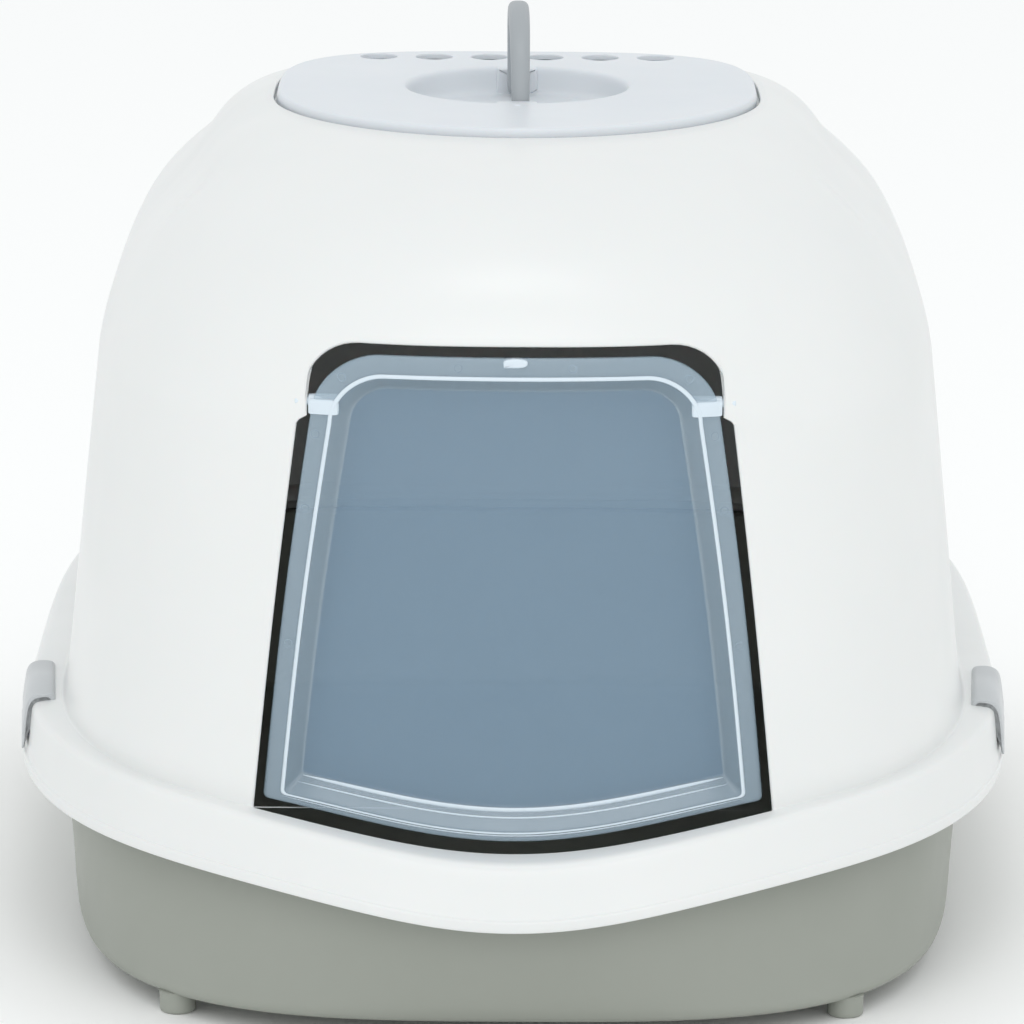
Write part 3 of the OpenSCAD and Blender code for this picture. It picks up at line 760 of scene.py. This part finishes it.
                bend = np.radians([30, 60, 90])[:, None]
                ease = line + outward * (radius * (1 - np.sin(bend)))[..., None]
                deep = patch[-1, :, 1] + radius * (1 - np.cos(bend))
                ease[:, 0], ease[:, -1] = line[0], line[-1]
                lip_rows = shell.add(np.stack([ease[..., 0], deep, ease[..., 1]], -1))
                lip_rows[:, 0], lip_rows[:, -1] = numbers[-1, 0], numbers[-1, -1]
                edge_rows.append(lip_rows)
            numbers = np.concatenate(edge_rows)
            shell.cells(numbers.T if sense > 0 else numbers)
            edges.append(numbers[-1])
        shell.cells(np.stack(edges))
        sill = [index[r, k:last - k + 1] for r in (low_row, twin[low_row])]
        shell.cells(np.stack(sill))
        return shell.build("hood_shell")

    def sockets(self) -> bpy.types.Object:
        """Two hinge blocks behind the entry's edge, each with a small cheek at the entry's step.

        The blocks recede by 0.6 of their reach outwards, as the wall in front of them does.
        """
        shell = Shell()
        blocks = (((-253.3, -245.7), (245, 255), (79.3, 84.3)),
                  ((-253.4, -250.2), (244.7, 248.6), (78.5, 82.6)))
        for side in (-1, 1):
            for (y0, y1), (z0, z1), (x0, x1) in blocks:
                box = np.array([[y0, z0], [y1, z0], [y1, z1], [y0, z1], [y0, z0]])
                grid = swept_prism(rounded(box)[:-1], ((x0, 0.5), (x0 + 0.4, 0), (x1 - 0.4, 0), (x1, 0.5)))
                recede = 1.0 + 0.6 * (grid[..., 1] - 79.3)
                placed = np.stack([side * grid[..., 1], grid[..., 0] + recede, grid[..., 2]], -1)
                index = shell.grid(placed, cols=True)
                for row in (0, -1):
                    shell.fan(index[row], placed[row].mean(0))
        return shell.build("hood_hinge_sockets")

    def make(self) -> None:
        """Builds and dresses the hood."""
        plastic = HOOD_PP.material()
        dress(self.body(), [plastic], "hood", "hood_plastic", "hood")
        dress(self.sockets(), [plastic], "hood", "hood_plastic", "hood")


# ---- Door ----------------------------------------------------------------------------------------
@dataclass
class Door:
    """The flap: a bowed frame with a raised line, a sloping band and a sunk panel."""

    low: float = 95.5
    top: float = 77.2
    head: float = 269.2
    gap: float = 3.5
    front: float = 21.0
    bow: float = 300.0
    sunk: float = 8.0
    thick: float = 2.0
    corner: tuple[float, float] = (26.0, 24.0)
    hinge_y: float = -250.8
    hinge_z: float = 250.0
    line_at: float = 7.35
    panel_at: float = 15.2

    def outline(self, inset: float) -> Array:
        """The flap's outline in front view, drawn in by an inset, from the middle of its foot round.

        The border is narrower along the foot, so the first 8 mm of inset count 0.45 there.

        Args:
            inset: distance in from the flap's side edge.

        Returns:
            Closed loop of (x, z) points, the same number at any inset.
        """
        near, far = min(inset, 8), max(inset - 8, 0)
        low, top, head = self.low - inset, self.top - inset, self.head - 1.05 * near - 0.8 * far
        rx, rz = max(8, self.corner[0] - 0.8 * inset), max(7, self.corner[1] - 0.75 * inset)
        bend_r = max(0.6, 2.4 - 0.16 * max(0, inset - 5))

        def foot(x: Array) -> Array:
            return PLAN.lip_z + 27 - PLAN.dip(x) + self.gap + 0.45 * near + 1.08 * far

        x = np.linspace(0, low - bend_r, 40)
        base = np.stack([x, foot(x)], -1)
        tip = np.array([low, float(foot(np.array(low)))])
        u = np.linspace(bend_r / (head - rz - tip[1]), 1, 60)
        side = np.stack([low + (top - low) * u + 1.3 * np.sin(np.pi * u),
                         tip[1] + (head - rz - tip[1]) * u], -1)
        v = np.linspace(0, 1, 9)[1:-1, None]
        turn = (1 - v) ** 2 * base[-1] + 2 * v * (1 - v) * tip + v ** 2 * side[0]
        bend = np.linspace(0, np.pi / 2, 22)[1:]
        c, s = np.cos(bend), np.sin(bend)
        reach = (c ** 1.85 + s ** 1.85) ** (-1 / 1.85)
        arc = np.stack([top - rx + rx * reach * c, head - rz + rz * reach * s], -1)
        lintel = np.linspace(arc[-1], [0, head], 24)[1:]
        half = np.concatenate([base, turn, side, arc, lintel])
        return np.concatenate([half, half[::-1][1:-1] * [-1, 1]])

    def bowed(self, flat: Array, depth: Array | float) -> Array:
        """Bends front-view points round the bow: y = front + depth + R - sqrt(R^2 - x^2)."""
        y = PLAN.front_y + self.front + depth + self.bow - np.sqrt(self.bow ** 2 - flat[..., 0] ** 2)
        return np.stack([flat[..., 0], y + 0 * flat[..., 0], flat[..., 1]], -1)

    def pane(self) -> bpy.types.Object:
        """The flap's two faces: flat border, sloping band and sunk panel, closed along the edge."""
        run = rounded(np.array([
            [0, 0.9], [0.15, 0.25], [0.8, 0], [3.0, 0], [6.2, 0], [6.7, -0.1], [8.0, -0.1],
            [8.4, 0.1], [9.2, 1.1], [13.4, 6.2], [14.4, 7.3], [15.2, 7.8], [16.2, 8], [19, 8]]))
        flat = np.stack([self.outline(inset) for inset in run[:, 0]])
        depth = np.broadcast_to(run[:, 1:2], flat.shape[:2])
        heart = np.array([0.0, 176.0])
        share = np.linspace(1, 0, 9)[1:-1, None, None]
        inner = heart + (flat[-1] - heart)[None] * share
        flat = np.concatenate([flat, inner])
        depth = np.concatenate([depth, np.full(inner.shape[:2], self.sunk)])
        front = self.bowed(flat, depth)
        back_depth = np.maximum(depth, 0) + self.thick
        back_depth[:2] = self.thick - np.array([[0.7], [0.25]])
        back = self.bowed(flat, back_depth)
        shell = Shell()
        grid = np.concatenate([front[::-1], back])
        index = shell.grid(grid, cols=True)
        for row, at in ((0, self.sunk), (-1, self.sunk + self.thick)):
            shell.fan(index[row], self.bowed(heart[None], at)[0])
        made = shell.build("door_pane", 50)
        rows, cols = index.shape
        clear = int(np.sum(run[:, 0] > self.panel_at)) + len(inner)
        row = np.minimum(np.arange(len(made.data.polygons)) // cols, rows)
        rim = (row >= clear) & (row < rows - 1 - clear)
        made.data.polygons.foreach_set("material_index", rim.astype(np.int32))
        return made

    def ridge(self) -> bpy.types.Object:
        """The pale moulded line between the border and the band, as a thin half-round bead."""
        turn = np.linspace(0, 2 * np.pi, 12, endpoint=False)
        flat = np.stack([self.outline(self.line_at + 0.75 * np.cos(at)) for at in turn])
        grid = self.bowed(flat, -0.45 - 0.5 * np.sin(turn)[:, None] + 0 * flat[..., 0])
        shell = Shell()
        shell.grid(grid, rows=True, cols=True)
        return shell.build("door_raised_line")

    def painted_foot_highlights(self) -> bpy.types.Object:
        """Fine pale beads along the foot, painted highlights where its creases catch the light: one under
        the raised line, one where the band meets the panel, and one on the band between them.

        Each follows the foot of an inset outline, thickest in the middle and fading to its ends.
        """
        shell = Shell()
        turn = np.linspace(0, 2 * np.pi, 10, endpoint=False)[:, None]
        # Each bead is a painted highlight: pale frosted resin laid along a crease of the foot
        for inset, depth, radius in ((14.4, 7.2, 0.85), (12.2, 4.7, 0.3), (5.2, 0.0, 0.25)):
            foot = self.outline(inset)[:40]
            line = np.concatenate([foot[::-1] * [-1, 1], foot[1:]])
            share = np.linspace(-1, 1, len(line))
            size = radius * (1 - 0.9 * share ** 8)
            flat = np.stack([line[:, 0] + 0 * turn, line[:, 1] + size * np.cos(turn)], -1)
            grid = self.bowed(flat, depth - 0.12 - 0.5 * size * np.sin(turn)).transpose(1, 0, 2)
            index = shell.grid(grid, cols=True)
            for row in (0, -1):
                shell.fan(index[row], grid[row].mean(0))
        return shell.build("door_foot_painted_highlights")

    def rings(self) -> bpy.types.Object:
        """Faint moulded rings along the border, left by round ejectors."""
        shell = Shell()
        turn = np.linspace(0, 2 * np.pi, 28, endpoint=False)[:, None]
        tube = np.linspace(0, 2 * np.pi, 8, endpoint=False)[None]
        for x, z in ((21.5, 265.4), (65.2, 260.4), (75.3, 238.0), (79.2, 209.0), (85.6, 156.0)):
            for side in (-1, 1):
                radius = 1.5 + 0.14 * np.cos(tube)
                flat = np.stack([side * x + radius * np.cos(turn), z + radius * np.sin(turn)], -1)
                shell.grid(self.bowed(flat, -0.1 * np.sin(tube) + 0 * turn), rows=True, cols=True)
        return shell.build("door_ejector_rings")

    def hinge(self) -> bpy.types.Object:
        """The two hinge barrels behind the border, and their pins."""
        shell = Shell()
        r_pin, y, z = 1.6, self.hinge_y, self.hinge_z
        for side in (-1, 1):
            run = rounded(np.array([[66.3, 0.3], [66.3, 2.3], [66.9, 2.8], [72, 2.8], [77.4, 2.8],
                                    [77.9, 2.6], [78.0, r_pin], [79.5, r_pin], [82.7, r_pin],
                                    [83.1, 1.2], [83.2, 0.3]]))
            turn = np.linspace(0, 2 * np.pi, 28, endpoint=False)
            x = side * run[:, :1] + 0 * turn
            grid = np.stack([x, y + run[:, 1:2] * np.cos(turn), z + run[:, 1:2] * np.sin(turn)], -1)
            index = shell.grid(grid, cols=True)
            shell.fan(index[0], (side * 66.3, y, z))
            shell.fan(index[-1], (side * 83.2, y, z))
        return shell.build("door_hinge_pins")

    def strap(self) -> bpy.types.Object:
        """The frosted strap that carries each barrel across the flap's border."""
        shell = Shell()
        for side in (-1, 1):
            box = np.array([[0.0, -2.9], [3.6, -2.9], [3.6, 2.9], [0.0, 2.9]])
            ring = rounded(np.concatenate([box, box[:1]]), 2)[:-1]
            place = ((66.4, 0.8), (67.0, 0.2), (68, 0), (77.2, 0), (77.9, 0.5))
            grid = swept_prism(ring, place)
            x = side * grid[..., 1]
            lead = PLAN.front_y + self.front - 0.7 + self.bow
            y = grid[..., 0] + lead - np.sqrt(self.bow ** 2 - x ** 2)
            placed = np.stack([x, y, grid[..., 2] + self.hinge_z - 1.3], -1)
            index = shell.grid(placed, cols=True)
            for row in (0, -1):
                shell.fan(index[row], placed[row].mean(0))
        return shell.build("door_hinge_straps")

    def tab(self) -> bpy.types.Object:
        """The small stop tab at the middle of the flap's head."""
        box = np.array([[-4.4, 0], [4.4, 0], [4.7, 3.4], [-4.7, 3.4]])
        ring = rounded(np.concatenate([box, box[:1]]), 2)[:-1]
        grid = swept_prism(ring, ((0, 0.5), (0.4, 0), (3.0, 0), (3.4, 0.4)))
        y0 = PLAN.front_y + self.front - 0.8
        placed = np.stack([grid[..., 0], grid[..., 1] + y0, grid[..., 2] + self.head - 3.4], -1)
        shell = Shell()
        index = shell.grid(placed, cols=True)
        for row in (0, -1):
            shell.fan(index[row], placed[row].mean(0))
        return shell.build("door_stop_tab")

    def make(self) -> None:
        """Builds and dresses the flap."""
        smoky, rim, frost_and_highlight = DOOR_PS.material(), DOOR_RIM_PS.material(), DOOR_FROST_AND_HIGHLIGHT.material()
        dress(self.pane(), [smoky, rim], "door", "door_plastic", "entry_door")
        dress(self.rings(), [rim], "door", "door_plastic", "entry_door")
        # The frosted resin is real on the raised line, hinge, straps and tab, and painted highlight on the
        # foot beads
        for piece in (self.ridge(), self.painted_foot_highlights(), self.hinge(), self.strap(), self.tab()):
            dress(piece, [frost_and_highlight], "door", "door_plastic", "entry_door")


# ---- Lid, handle and filter ----------------------------------------------------------------------
@dataclass
class Lid:
    """The lift-off top lid: plate with a rounded rim, finger recess, vents and skirt."""

    half: float = 97.0
    fore: float = 97.0
    aft: float = 95.0
    seat_z: float = 328.4
    top_z: float = 334.4
    skin: float = 2.2
    recess_y: float = -29.0
    recess_r: float = 46.0
    recess_floor: float = 323.4
    vent_r: float = 7.7
    vent_y: float = 41.0
    vent_pitch: float = 23.0
    vents: int = 6
    aft_power: float = 3.5

    def outline(self, inset: float, z: float) -> list[float]:
        """Spec of the lid's ring at an inset and height."""
        return [self.half - inset, self.fore - inset, self.aft - inset, 2, self.aft_power, z, 0]

    def plate(self) -> bpy.types.Object:
        """The lid's plate, recess, vents, rim and skirt as one closed skin."""
        top, seat, skin = self.top_z, self.seat_z, self.skin
        turn = np.linspace(0, 2 * np.pi, 240, endpoint=False)
        rim = rounded(np.array([
            self.outline(1.9, top), self.outline(1.4, top), self.outline(0.5, top - 0.4),
            self.outline(0.1, top - 1.5), self.outline(0, top - 3.2), self.outline(0, seat + 0.6),
            self.outline(0.3, seat), self.outline(2, seat), self.outline(11.6, seat),
            self.outline(11.6, seat - 3), self.outline(11.8, seat - 8), self.outline(13.4, seat - 8),
            self.outline(13.6, seat - 4), self.outline(13.6, seat + 1.6), self.outline(12, seat + 1.8),
            self.outline(3.4, seat + 1.8), self.outline(2.5, top - skin - 0.6),
            self.outline(2.6, top - skin)]))
        rim_grid = PLAN.rings(rim, turn)
        shell = Shell()
        rim_index = shell.grid(rim_grid, cols=True)
        r, floor = self.recess_r, self.recess_floor - top
        bowl = rounded(np.array([[r + 1.6, 0], [r + 1.0, 0], [r - 0.6, -0.3], [r - 1.6, -1.8],
                                 [r - 2.2, -5], [r - 3.4, floor + 1.6], [r - 6.5, floor + 0.1],
                                 [r - 10, floor], [24, floor], [8, floor]]))
        under = rounded(np.array([[r + 2.2, -skin], [r + 1.6, -skin], [r + 0.6, -skin - 2],
                                  [r, -7], [r - 2, floor - skin + 1], [r - 5, floor - skin],
                                  [24, floor - skin], [8, floor - skin]]))
        upper_loops, lower_loops = [rim_index[0]], [rim_index[-1]]
        for profile, loops in ((bowl, upper_loops), (under, lower_loops)):
            grid = lathe(profile, (0, self.recess_y, top), 128)
            index = shell.grid(grid, cols=True)
            shell.fan(index[-1], (0, self.recess_y, top + profile[-1, 1]))
            loops.append(index[0])
        v = self.vent_r
        hole = rounded(np.array([[v + 0.4, 0], [v + 0.25, 0], [v, -0.25], [v - 0.1, -0.8],
                                 [v - 0.1, -skin]]))
        for i in range(self.vents):
            x = (i - (self.vents - 1) / 2) * self.vent_pitch
            index = shell.grid(lathe(hole, (x, self.vent_y, top), 48), cols=True)
            upper_loops.append(index[0])
            lower_loops.append(index[-1])
        shell.flat_fill(upper_loops)
        shell.flat_fill(lower_loops)
        return shell.build("lid_plate")

    def bosses(self) -> bpy.types.Object:
        """The two bosses in the recess that the handle's feet turn in, and the moulded pointer."""
        shell = Shell()
        width, rise = 8.5, self.top_z - self.recess_floor
        for end in (-1, 1):
            box = np.array([[-width, -0.4], [width, -0.4], [width - 0.3, rise - 0.5],
                            [width - 1.2, rise - 0.02], [0, rise - 0.02], [1.2 - width, rise - 0.02],
                            [0.3 - width, rise - 0.5]])
            ring = rounded(np.concatenate([box, box[:1]]), 1)[:-1]
            grid = swept_prism(ring, ((40.1, 0.7), (40.4, 0.25), (41.1, 0), (47.0, 0)))
            placed = np.stack([grid[..., 0], self.recess_y + end * grid[..., 1],
                               self.recess_floor + grid[..., 2]], -1)
            index = shell.grid(placed, cols=True)
            for row in (0, -1):
                shell.fan(index[row], placed[row].mean(0))
        y = self.recess_y - self.recess_r - 5
        tri = np.array([[-1.4, -1.2], [1.4, -1.2], [0, 1.4]])
        marks = np.stack([np.column_stack([tri * g + [0, y], np.full(3, self.top_z + h)])
                          for g, h in ((1, -0.6), (1, 0.1), (0.8, 0.4))])
        index = shell.grid(marks, cols=True)
        for row in (0, -1):
            shell.fan(index[row], marks[row].mean(0))
        return shell.build("lid_bosses")

    def make(self) -> None:
        """Builds and dresses the lid."""
        # The lid's plastic is darker and bluer than the hood's: painted shade
        plastic = LID_PP_PAINTED_SHADE.material()
        dress(self.plate(), [plastic], "lid", "lid_plastic", "top_lid")
        dress(self.bosses(), [plastic], "lid", "lid_plastic", "top_lid")


@dataclass
class Handle:
    """The folding carry handle: a half ring of rounded band on two pivots."""

    outer_r: float = 39.5
    skew: float = 1.4
    depth: float = 8.0
    breadth: float = 8.4
    axis_y: float = -29.0
    axis_z: float = 328.8

    def arch(self) -> bpy.types.Object:
        """Carries a superellipse section round the half ring and closes each foot in a round eye.

        The ring sits a touch askew on its pivots, as their play allows.
        """
        turn = np.linspace(0, 2 * np.pi, 32, endpoint=False)
        c, s = np.cos(turn), np.sin(turn)
        reach = (np.abs(c) ** 3 + np.abs(s) ** 3) ** (-1 / 3)
        path = np.linspace(0, np.pi, 81)
        swell = 1 - 0.14 * np.abs(np.cos(path)) ** 3
        rows = []
        mean = self.outer_r - self.depth / 2
        for angle, k in zip(path, swell):
            out = mean + self.depth / 2 * reach * s
            rows.append(np.stack([self.breadth / 2 * k * reach * c,
                                  self.axis_y + out * np.cos(angle),
                                  self.axis_z + out * np.sin(angle)], -1))
        eye = []
        for drop, shrink in ((1.2, 0.98), (2.4, 0.86), (3.3, 0.62), (3.9, 0.2)):
            eye.append((drop, shrink))
        first, last = rows[0], rows[-1]
        before = [np.stack([first[:, 0] * (0.6 + 0.4 * k), self.axis_y + mean
                            + (first[:, 1] - self.axis_y - mean) * k, first[:, 2] - d], -1)
                  for d, k in reversed(eye)]
        after = [np.stack([last[:, 0] * (0.6 + 0.4 * k), self.axis_y - mean
                           + (last[:, 1] - self.axis_y + mean) * k, last[:, 2] - d], -1)
                 for d, k in eye]
        grid = np.stack(before + rows + after)
        grid[..., 0] -= np.tan(np.radians(self.skew)) * (grid[..., 1] - self.axis_y) - 0.5
        shell = Shell()
        index = shell.grid(grid, cols=True)
        for row in (0, -1):
            shell.fan(index[row], grid[row].mean(0))
        for end in (-1, 1):
            pin = rounded(np.array([[0.3, mean], [2.0, mean], [2.0, self.outer_r + 4],
                                    [1.6, self.outer_r + 5], [0.3, self.outer_r + 5]]), 1)
            ring = lathe(pin, (0, 0, 0), 24)
            placed = np.stack([ring[..., 0], self.axis_y + end * ring[..., 2],
                               self.axis_z + ring[..., 1]], -1)
            pin_index = shell.grid(placed, cols=True)
            for row in (0, -1):
                shell.fan(pin_index[row], placed[row].mean(0))
        return shell.build("carry_handle_arch", 50)

    def make(self) -> None:
        """Builds and dresses the handle."""
        dress(self.arch(), [HANDLE_PP.material()], "handle", "handle_plastic", "carry_handle")


@dataclass
class Filter:
    """The fleece pad under the vents and the slotted grille that holds it."""

    width: float = 146.0
    y0: float = 20.6
    y1: float = 41.0
    top: float = 331.2
    thick: float = 8.0
    bars: int = 11

    def room(self, y: Array, inset: float) -> Array:
        """Half-width of the lid's outline drawn in by an inset, at the station y."""
        u = np.clip((y - PLAN.mid_y) / (95 - inset), 0, 1)
        return (97 - inset) * (1 - u ** 3.5) ** (1 / 3.5)

    def pad(self) -> bpy.types.Object:
        """A soft slab whose top swells a little and ripples like needled fleece."""
        u = np.linspace(-1, 1, 61)
        v = np.linspace(-1, 1, 15)
        uu, vv = np.meshgrid(u, v)
        edge = (1 - uu ** 12) * (1 - vv ** 6)
        ripple = 0.25 * np.sin(uu * 23) * np.cos(vv * 5 + uu * 9)
        half = self.width / 2 - 0.4
        mid_y, half_y = (self.y0 + self.y1) / 2, (self.y1 - self.y0) / 2 - 0.3
        mid_z = self.top - self.thick / 2
        yy = mid_y + vv * half_y
        half = np.minimum(half, self.room(yy, 14.0))
        lift = 3.3 * edge ** 0.5 + ripple * edge
        faces = []
        for sense in (1, -1):
            faces.append(np.stack([uu * half, yy, mid_z + sense * lift], -1))
        shell = Shell()
        top = shell.grid(faces[0])
        bottom = shell.grid(faces[1])
        for a, b in ((top[0], bottom[0]), (top[-1], bottom[-1]), (top[:, 0], bottom[:, 0]),
                     (top[:, -1], bottom[:, -1])):
            shell.cells(np.stack([a, b]))
        made = shell.build("filter_pad_fleece", 60)
        work = bmesh.new()
        work.from_mesh(made.data)
        bmesh.ops.remove_doubles(work, verts=work.verts, dist=0.01 * MM)
        bmesh.ops.dissolve_degenerate(work, edges=work.edges, dist=0.01 * MM)
        bmesh.ops.recalc_face_normals(work, faces=work.faces)
        work.to_mesh(made.data)
        work.free()
        return made

    def grille(self) -> bpy.types.Object:
        """The grille: a frame and rounded bars, each a swept section."""
        shell = Shell()
        z, h = self.top - self.thick - 2.4, 2.2
        half = self.width / 2 + 1.8
        pitch = (self.width - 2) / self.bars
        front, rear = (float(self.room(np.array(y), 13.8)) for y in (self.y0 + 1.5, self.y1 + 0.8))
        half = min(half, front)
        bars = [((-half, half), (self.y0 - 0.8, self.y0 + 1.5)),
                ((-rear, rear), (self.y1 - 1.5, self.y1 + 0.8))]
        for x in -self.width / 2 + 1 + pitch * np.arange(1, self.bars):
            stations = np.linspace(self.y0, self.y1 - 0.5, 60)
            clear = stations[self.room(stations, 13.8) > abs(x) + 1]
            bars.append(((x - 1, x + 1), (self.y0 + 0.5, float(clear[-1]))))
        for (x0, x1), (y0, y1) in bars:
            box = np.array([[x0, z], [x1, z], [x1, z + h], [x0, z + h]])
            ring = box
            corner = np.concatenate([ring + (np.roll(ring, -1, 0) - ring) * 0.08,
                                     ring + (np.roll(ring, 1, 0) - ring) * 0.08], 1)
            section = corner.reshape(-1, 2, 2)[:, ::-1].reshape(-1, 2)
            grid = swept_prism(section, ((y0, 0.2), (y0 + 0.2, 0), (y1 - 0.2, 0), (y1, 0.2)))
            index = shell.grid(grid, cols=True)
            for row in (0, -1):
                shell.fan(index[row], grid[row].mean(0))
        return shell.build("filter_grille_bars")

    def make(self) -> None:
        """Builds and dresses the filter."""
        dress(self.pad(), [PAD_FELT.material()], "lid", "pad_fibre", "filter_pad")
        dress(self.grille(), [LID_PP_PAINTED_SHADE.material()], "lid", "lid_plastic", "filter_grille")


# ---- Latches -------------------------------------------------------------------------------------
@dataclass
class Latch:
    """A side latch: a plate hooked over the flange's shoulder, on a pivot along its inner edge."""

    length: float = 56.0
    fore: float = 42.0
    yaw: float = 4.0
    pivot_in: float = 12.5
    band: float = 25.0

    def section(self) -> Array:
        """The latch's section as a rounded closed loop of (out, up) points."""
        b, p = self.band, self.pivot_in
        loop = np.array([
            [-p - 1.1, b - 1], [-p - 1.1, b + 3.4], [3 - p, b + 4.2], [-5.2, b + 3.8],
            [-2.4, b + 1.7], [-1.4, b - 2.5], [-0.5, b - 9], [0, b - 12.6], [-0.6, b - 13.6],
            [0.5, 6.4], [-0.7, 6.4], [-1.2, 7.4], [-2.6, b - 2.6], [-4.6, b + 1.2], [-7, b + 2.1],
            [1.1 - p, b + 2.4], [1.1 - p, b - 1]])
        ring = np.concatenate([loop, loop[:1]])
        return rounded(ring, 2)[:-1]

    def placed(self, grid: Array, side: int) -> Array:
        """Stands (out, along, up) points at the flange's edge on one side, turned by the yaw."""
        power = PLAN.flange_fore_power
        edge = PLAN.half_w * (1 - (self.fore / PLAN.widest_y) ** power) ** (1 / power)
        c, s = np.cos(np.radians(self.yaw)), np.sin(np.radians(self.yaw))
        x = edge + grid[..., 0] * c + grid[..., 1] * s
        y = PLAN.mid_y - self.fore - grid[..., 0] * s + grid[..., 1] * c
        return np.stack([side * x, y, PLAN.lip_z + grid[..., 2]], -1)

    def build(self, name: str, side: int) -> bpy.types.Object:
        """Builds one latch: plate, barb and pivot rod.

        Args:
            name: the object's name.
            side: 1 on the right, -1 on the left.

        Returns:
            The new object.
        """
        half = self.length / 2
        shell = Shell()
        plate = swept_prism(self.section(), ((-half, 0.5), (-half + 0.2, 0.2), (-half + 0.6, 0),
                                             (half - 0.6, 0), (half - 0.2, 0.2), (half, 0.5)))
        barb = np.array([[-5.8, 8.0], [-3, 7.5], [-0.6, 7.0], [-0.6, 11.4], [-3, 11.2], [-5.8, 11.0]])
        barb_grid = swept_prism(barb, ((-13, 0.2), (-12.7, 0), (12.7, 0), (13, 0.2)))
        rod = lathe(np.array([[0.2, -32.5], [1.3, -32.5], [1.6, -32.2], [1.6, 32.2], [1.3, 32.5],
                              [0.2, 32.5]]), (0, 0, 0), 24)
        rod_grid = np.stack([rod[..., 0] - self.pivot_in, rod[..., 2], rod[..., 1] + self.band - 1], -1)
        for grid in (plate, barb_grid, rod_grid):
            points = self.placed(grid, side)
            index = shell.grid(points, cols=True)
            for row in (0, -1):
                shell.fan(index[row], points[row].mean(0))
        return shell.build(name, 42)

    def make(self) -> None:
        """Builds and dresses both latches."""
        plastic = LATCH_POM.material()
        for name, side in (("latch_left", -1), ("latch_right", 1)):
            dress(self.build(name + "_plate", side), [plastic], name, "latch_plastic", name)


# ---- Studio --------------------------------------------------------------------------------------
@dataclass
class Studio:
    """Pale floor, soft lights and the camera."""

    eye: tuple[float, float, float] = (-0.001, -2.735, 0.781)
    tilt: float = 13.0
    roll: float = 0.35
    lens: float = 237.1

    def camera(self) -> None:
        """Aims the camera level along +Y, tilted down and turned by the roll."""
        t, r = np.radians(self.tilt), np.radians(self.roll)
        ahead = np.array([0, np.cos(t), -np.sin(t)])
        right, up = np.array([1.0, 0, 0]), np.array([0, np.sin(t), np.cos(t)])
        right, up = np.cos(r) * right + np.sin(r) * up, np.cos(r) * up - np.sin(r) * right
        data = bpy.data.cameras.new("camera")
        data.lens, data.sensor_width = self.lens, 36.0
        made = bpy.data.objects.new("camera", data)
        turn = Matrix(np.stack([right, up, -ahead], 1).tolist()).to_4x4()
        made.matrix_world = Matrix.Translation(Vector(self.eye)) @ turn
        bpy.context.scene.collection.objects.link(made)
        bpy.context.scene.camera = made

    def floor(self) -> None:
        """A wide pale floor."""
        mesh = bpy.data.meshes.new("floor")
        r = 12.0
        mesh.from_pydata([(-r, -r, 0), (r, -r, 0), (r, r, 0), (-r, r, 0)], [], [(0, 1, 2, 3)])
        made = bpy.data.objects.new("floor", mesh)
        bpy.context.scene.collection.objects.link(made)
        material = bpy.data.materials.new("matt_white_floor")
        material.use_nodes = True
        shader = material.node_tree.nodes["Principled BSDF"]
        shader.inputs["Base Color"].default_value = linear("#fdfdfc")
        shader.inputs["Roughness"].default_value = 0.9
        mesh.materials.append(material)

    def light(self, name: str, place: Sequence[float], aim: Sequence[float], size: float,
              power: float) -> None:
        """Adds one square soft light."""
        data = bpy.data.lights.new(name, "AREA")
        data.shape, data.size, data.energy = "SQUARE", size, power
        made = bpy.data.objects.new(name, data)
        made.location = place
        made.rotation_euler = (Vector(aim) - Vector(place)).to_track_quat("-Z", "Y").to_euler()
        bpy.context.scene.collection.objects.link(made)

    def make(self) -> None:
        """Sets the whole studio."""
        self.camera()
        self.floor()
        self.light("front_softbox", (0.0, -3.2, 1.3), (0, 0, 0.18), 2.2, 16)
        self.light("top_softbox", (0.0, -0.9, 2.4), (0, -0.2, 0.1), 0.7, 4)
        world = bpy.data.worlds.new("studio_air")
        world.use_nodes = True
        sky = world.node_tree.nodes["Background"]
        sky.inputs["Color"].default_value = linear("#f6f8f9")
        sky.inputs["Strength"].default_value = 1.02
        bpy.context.scene.world = world
        bpy.context.scene.view_settings.view_transform = "Standard"


def main() -> None:
    """Builds the studio and every sub-assembly in order."""
    logging.basicConfig(level=logging.INFO, format="%(message)s")
    Studio().make()
    for part in (Tray(), Hood(), Door(), Lid(), Handle(), Filter(), Latch()):
        part.make()
    bpy.context.view_layer.update()


if __name__ == "__main__":
    main()
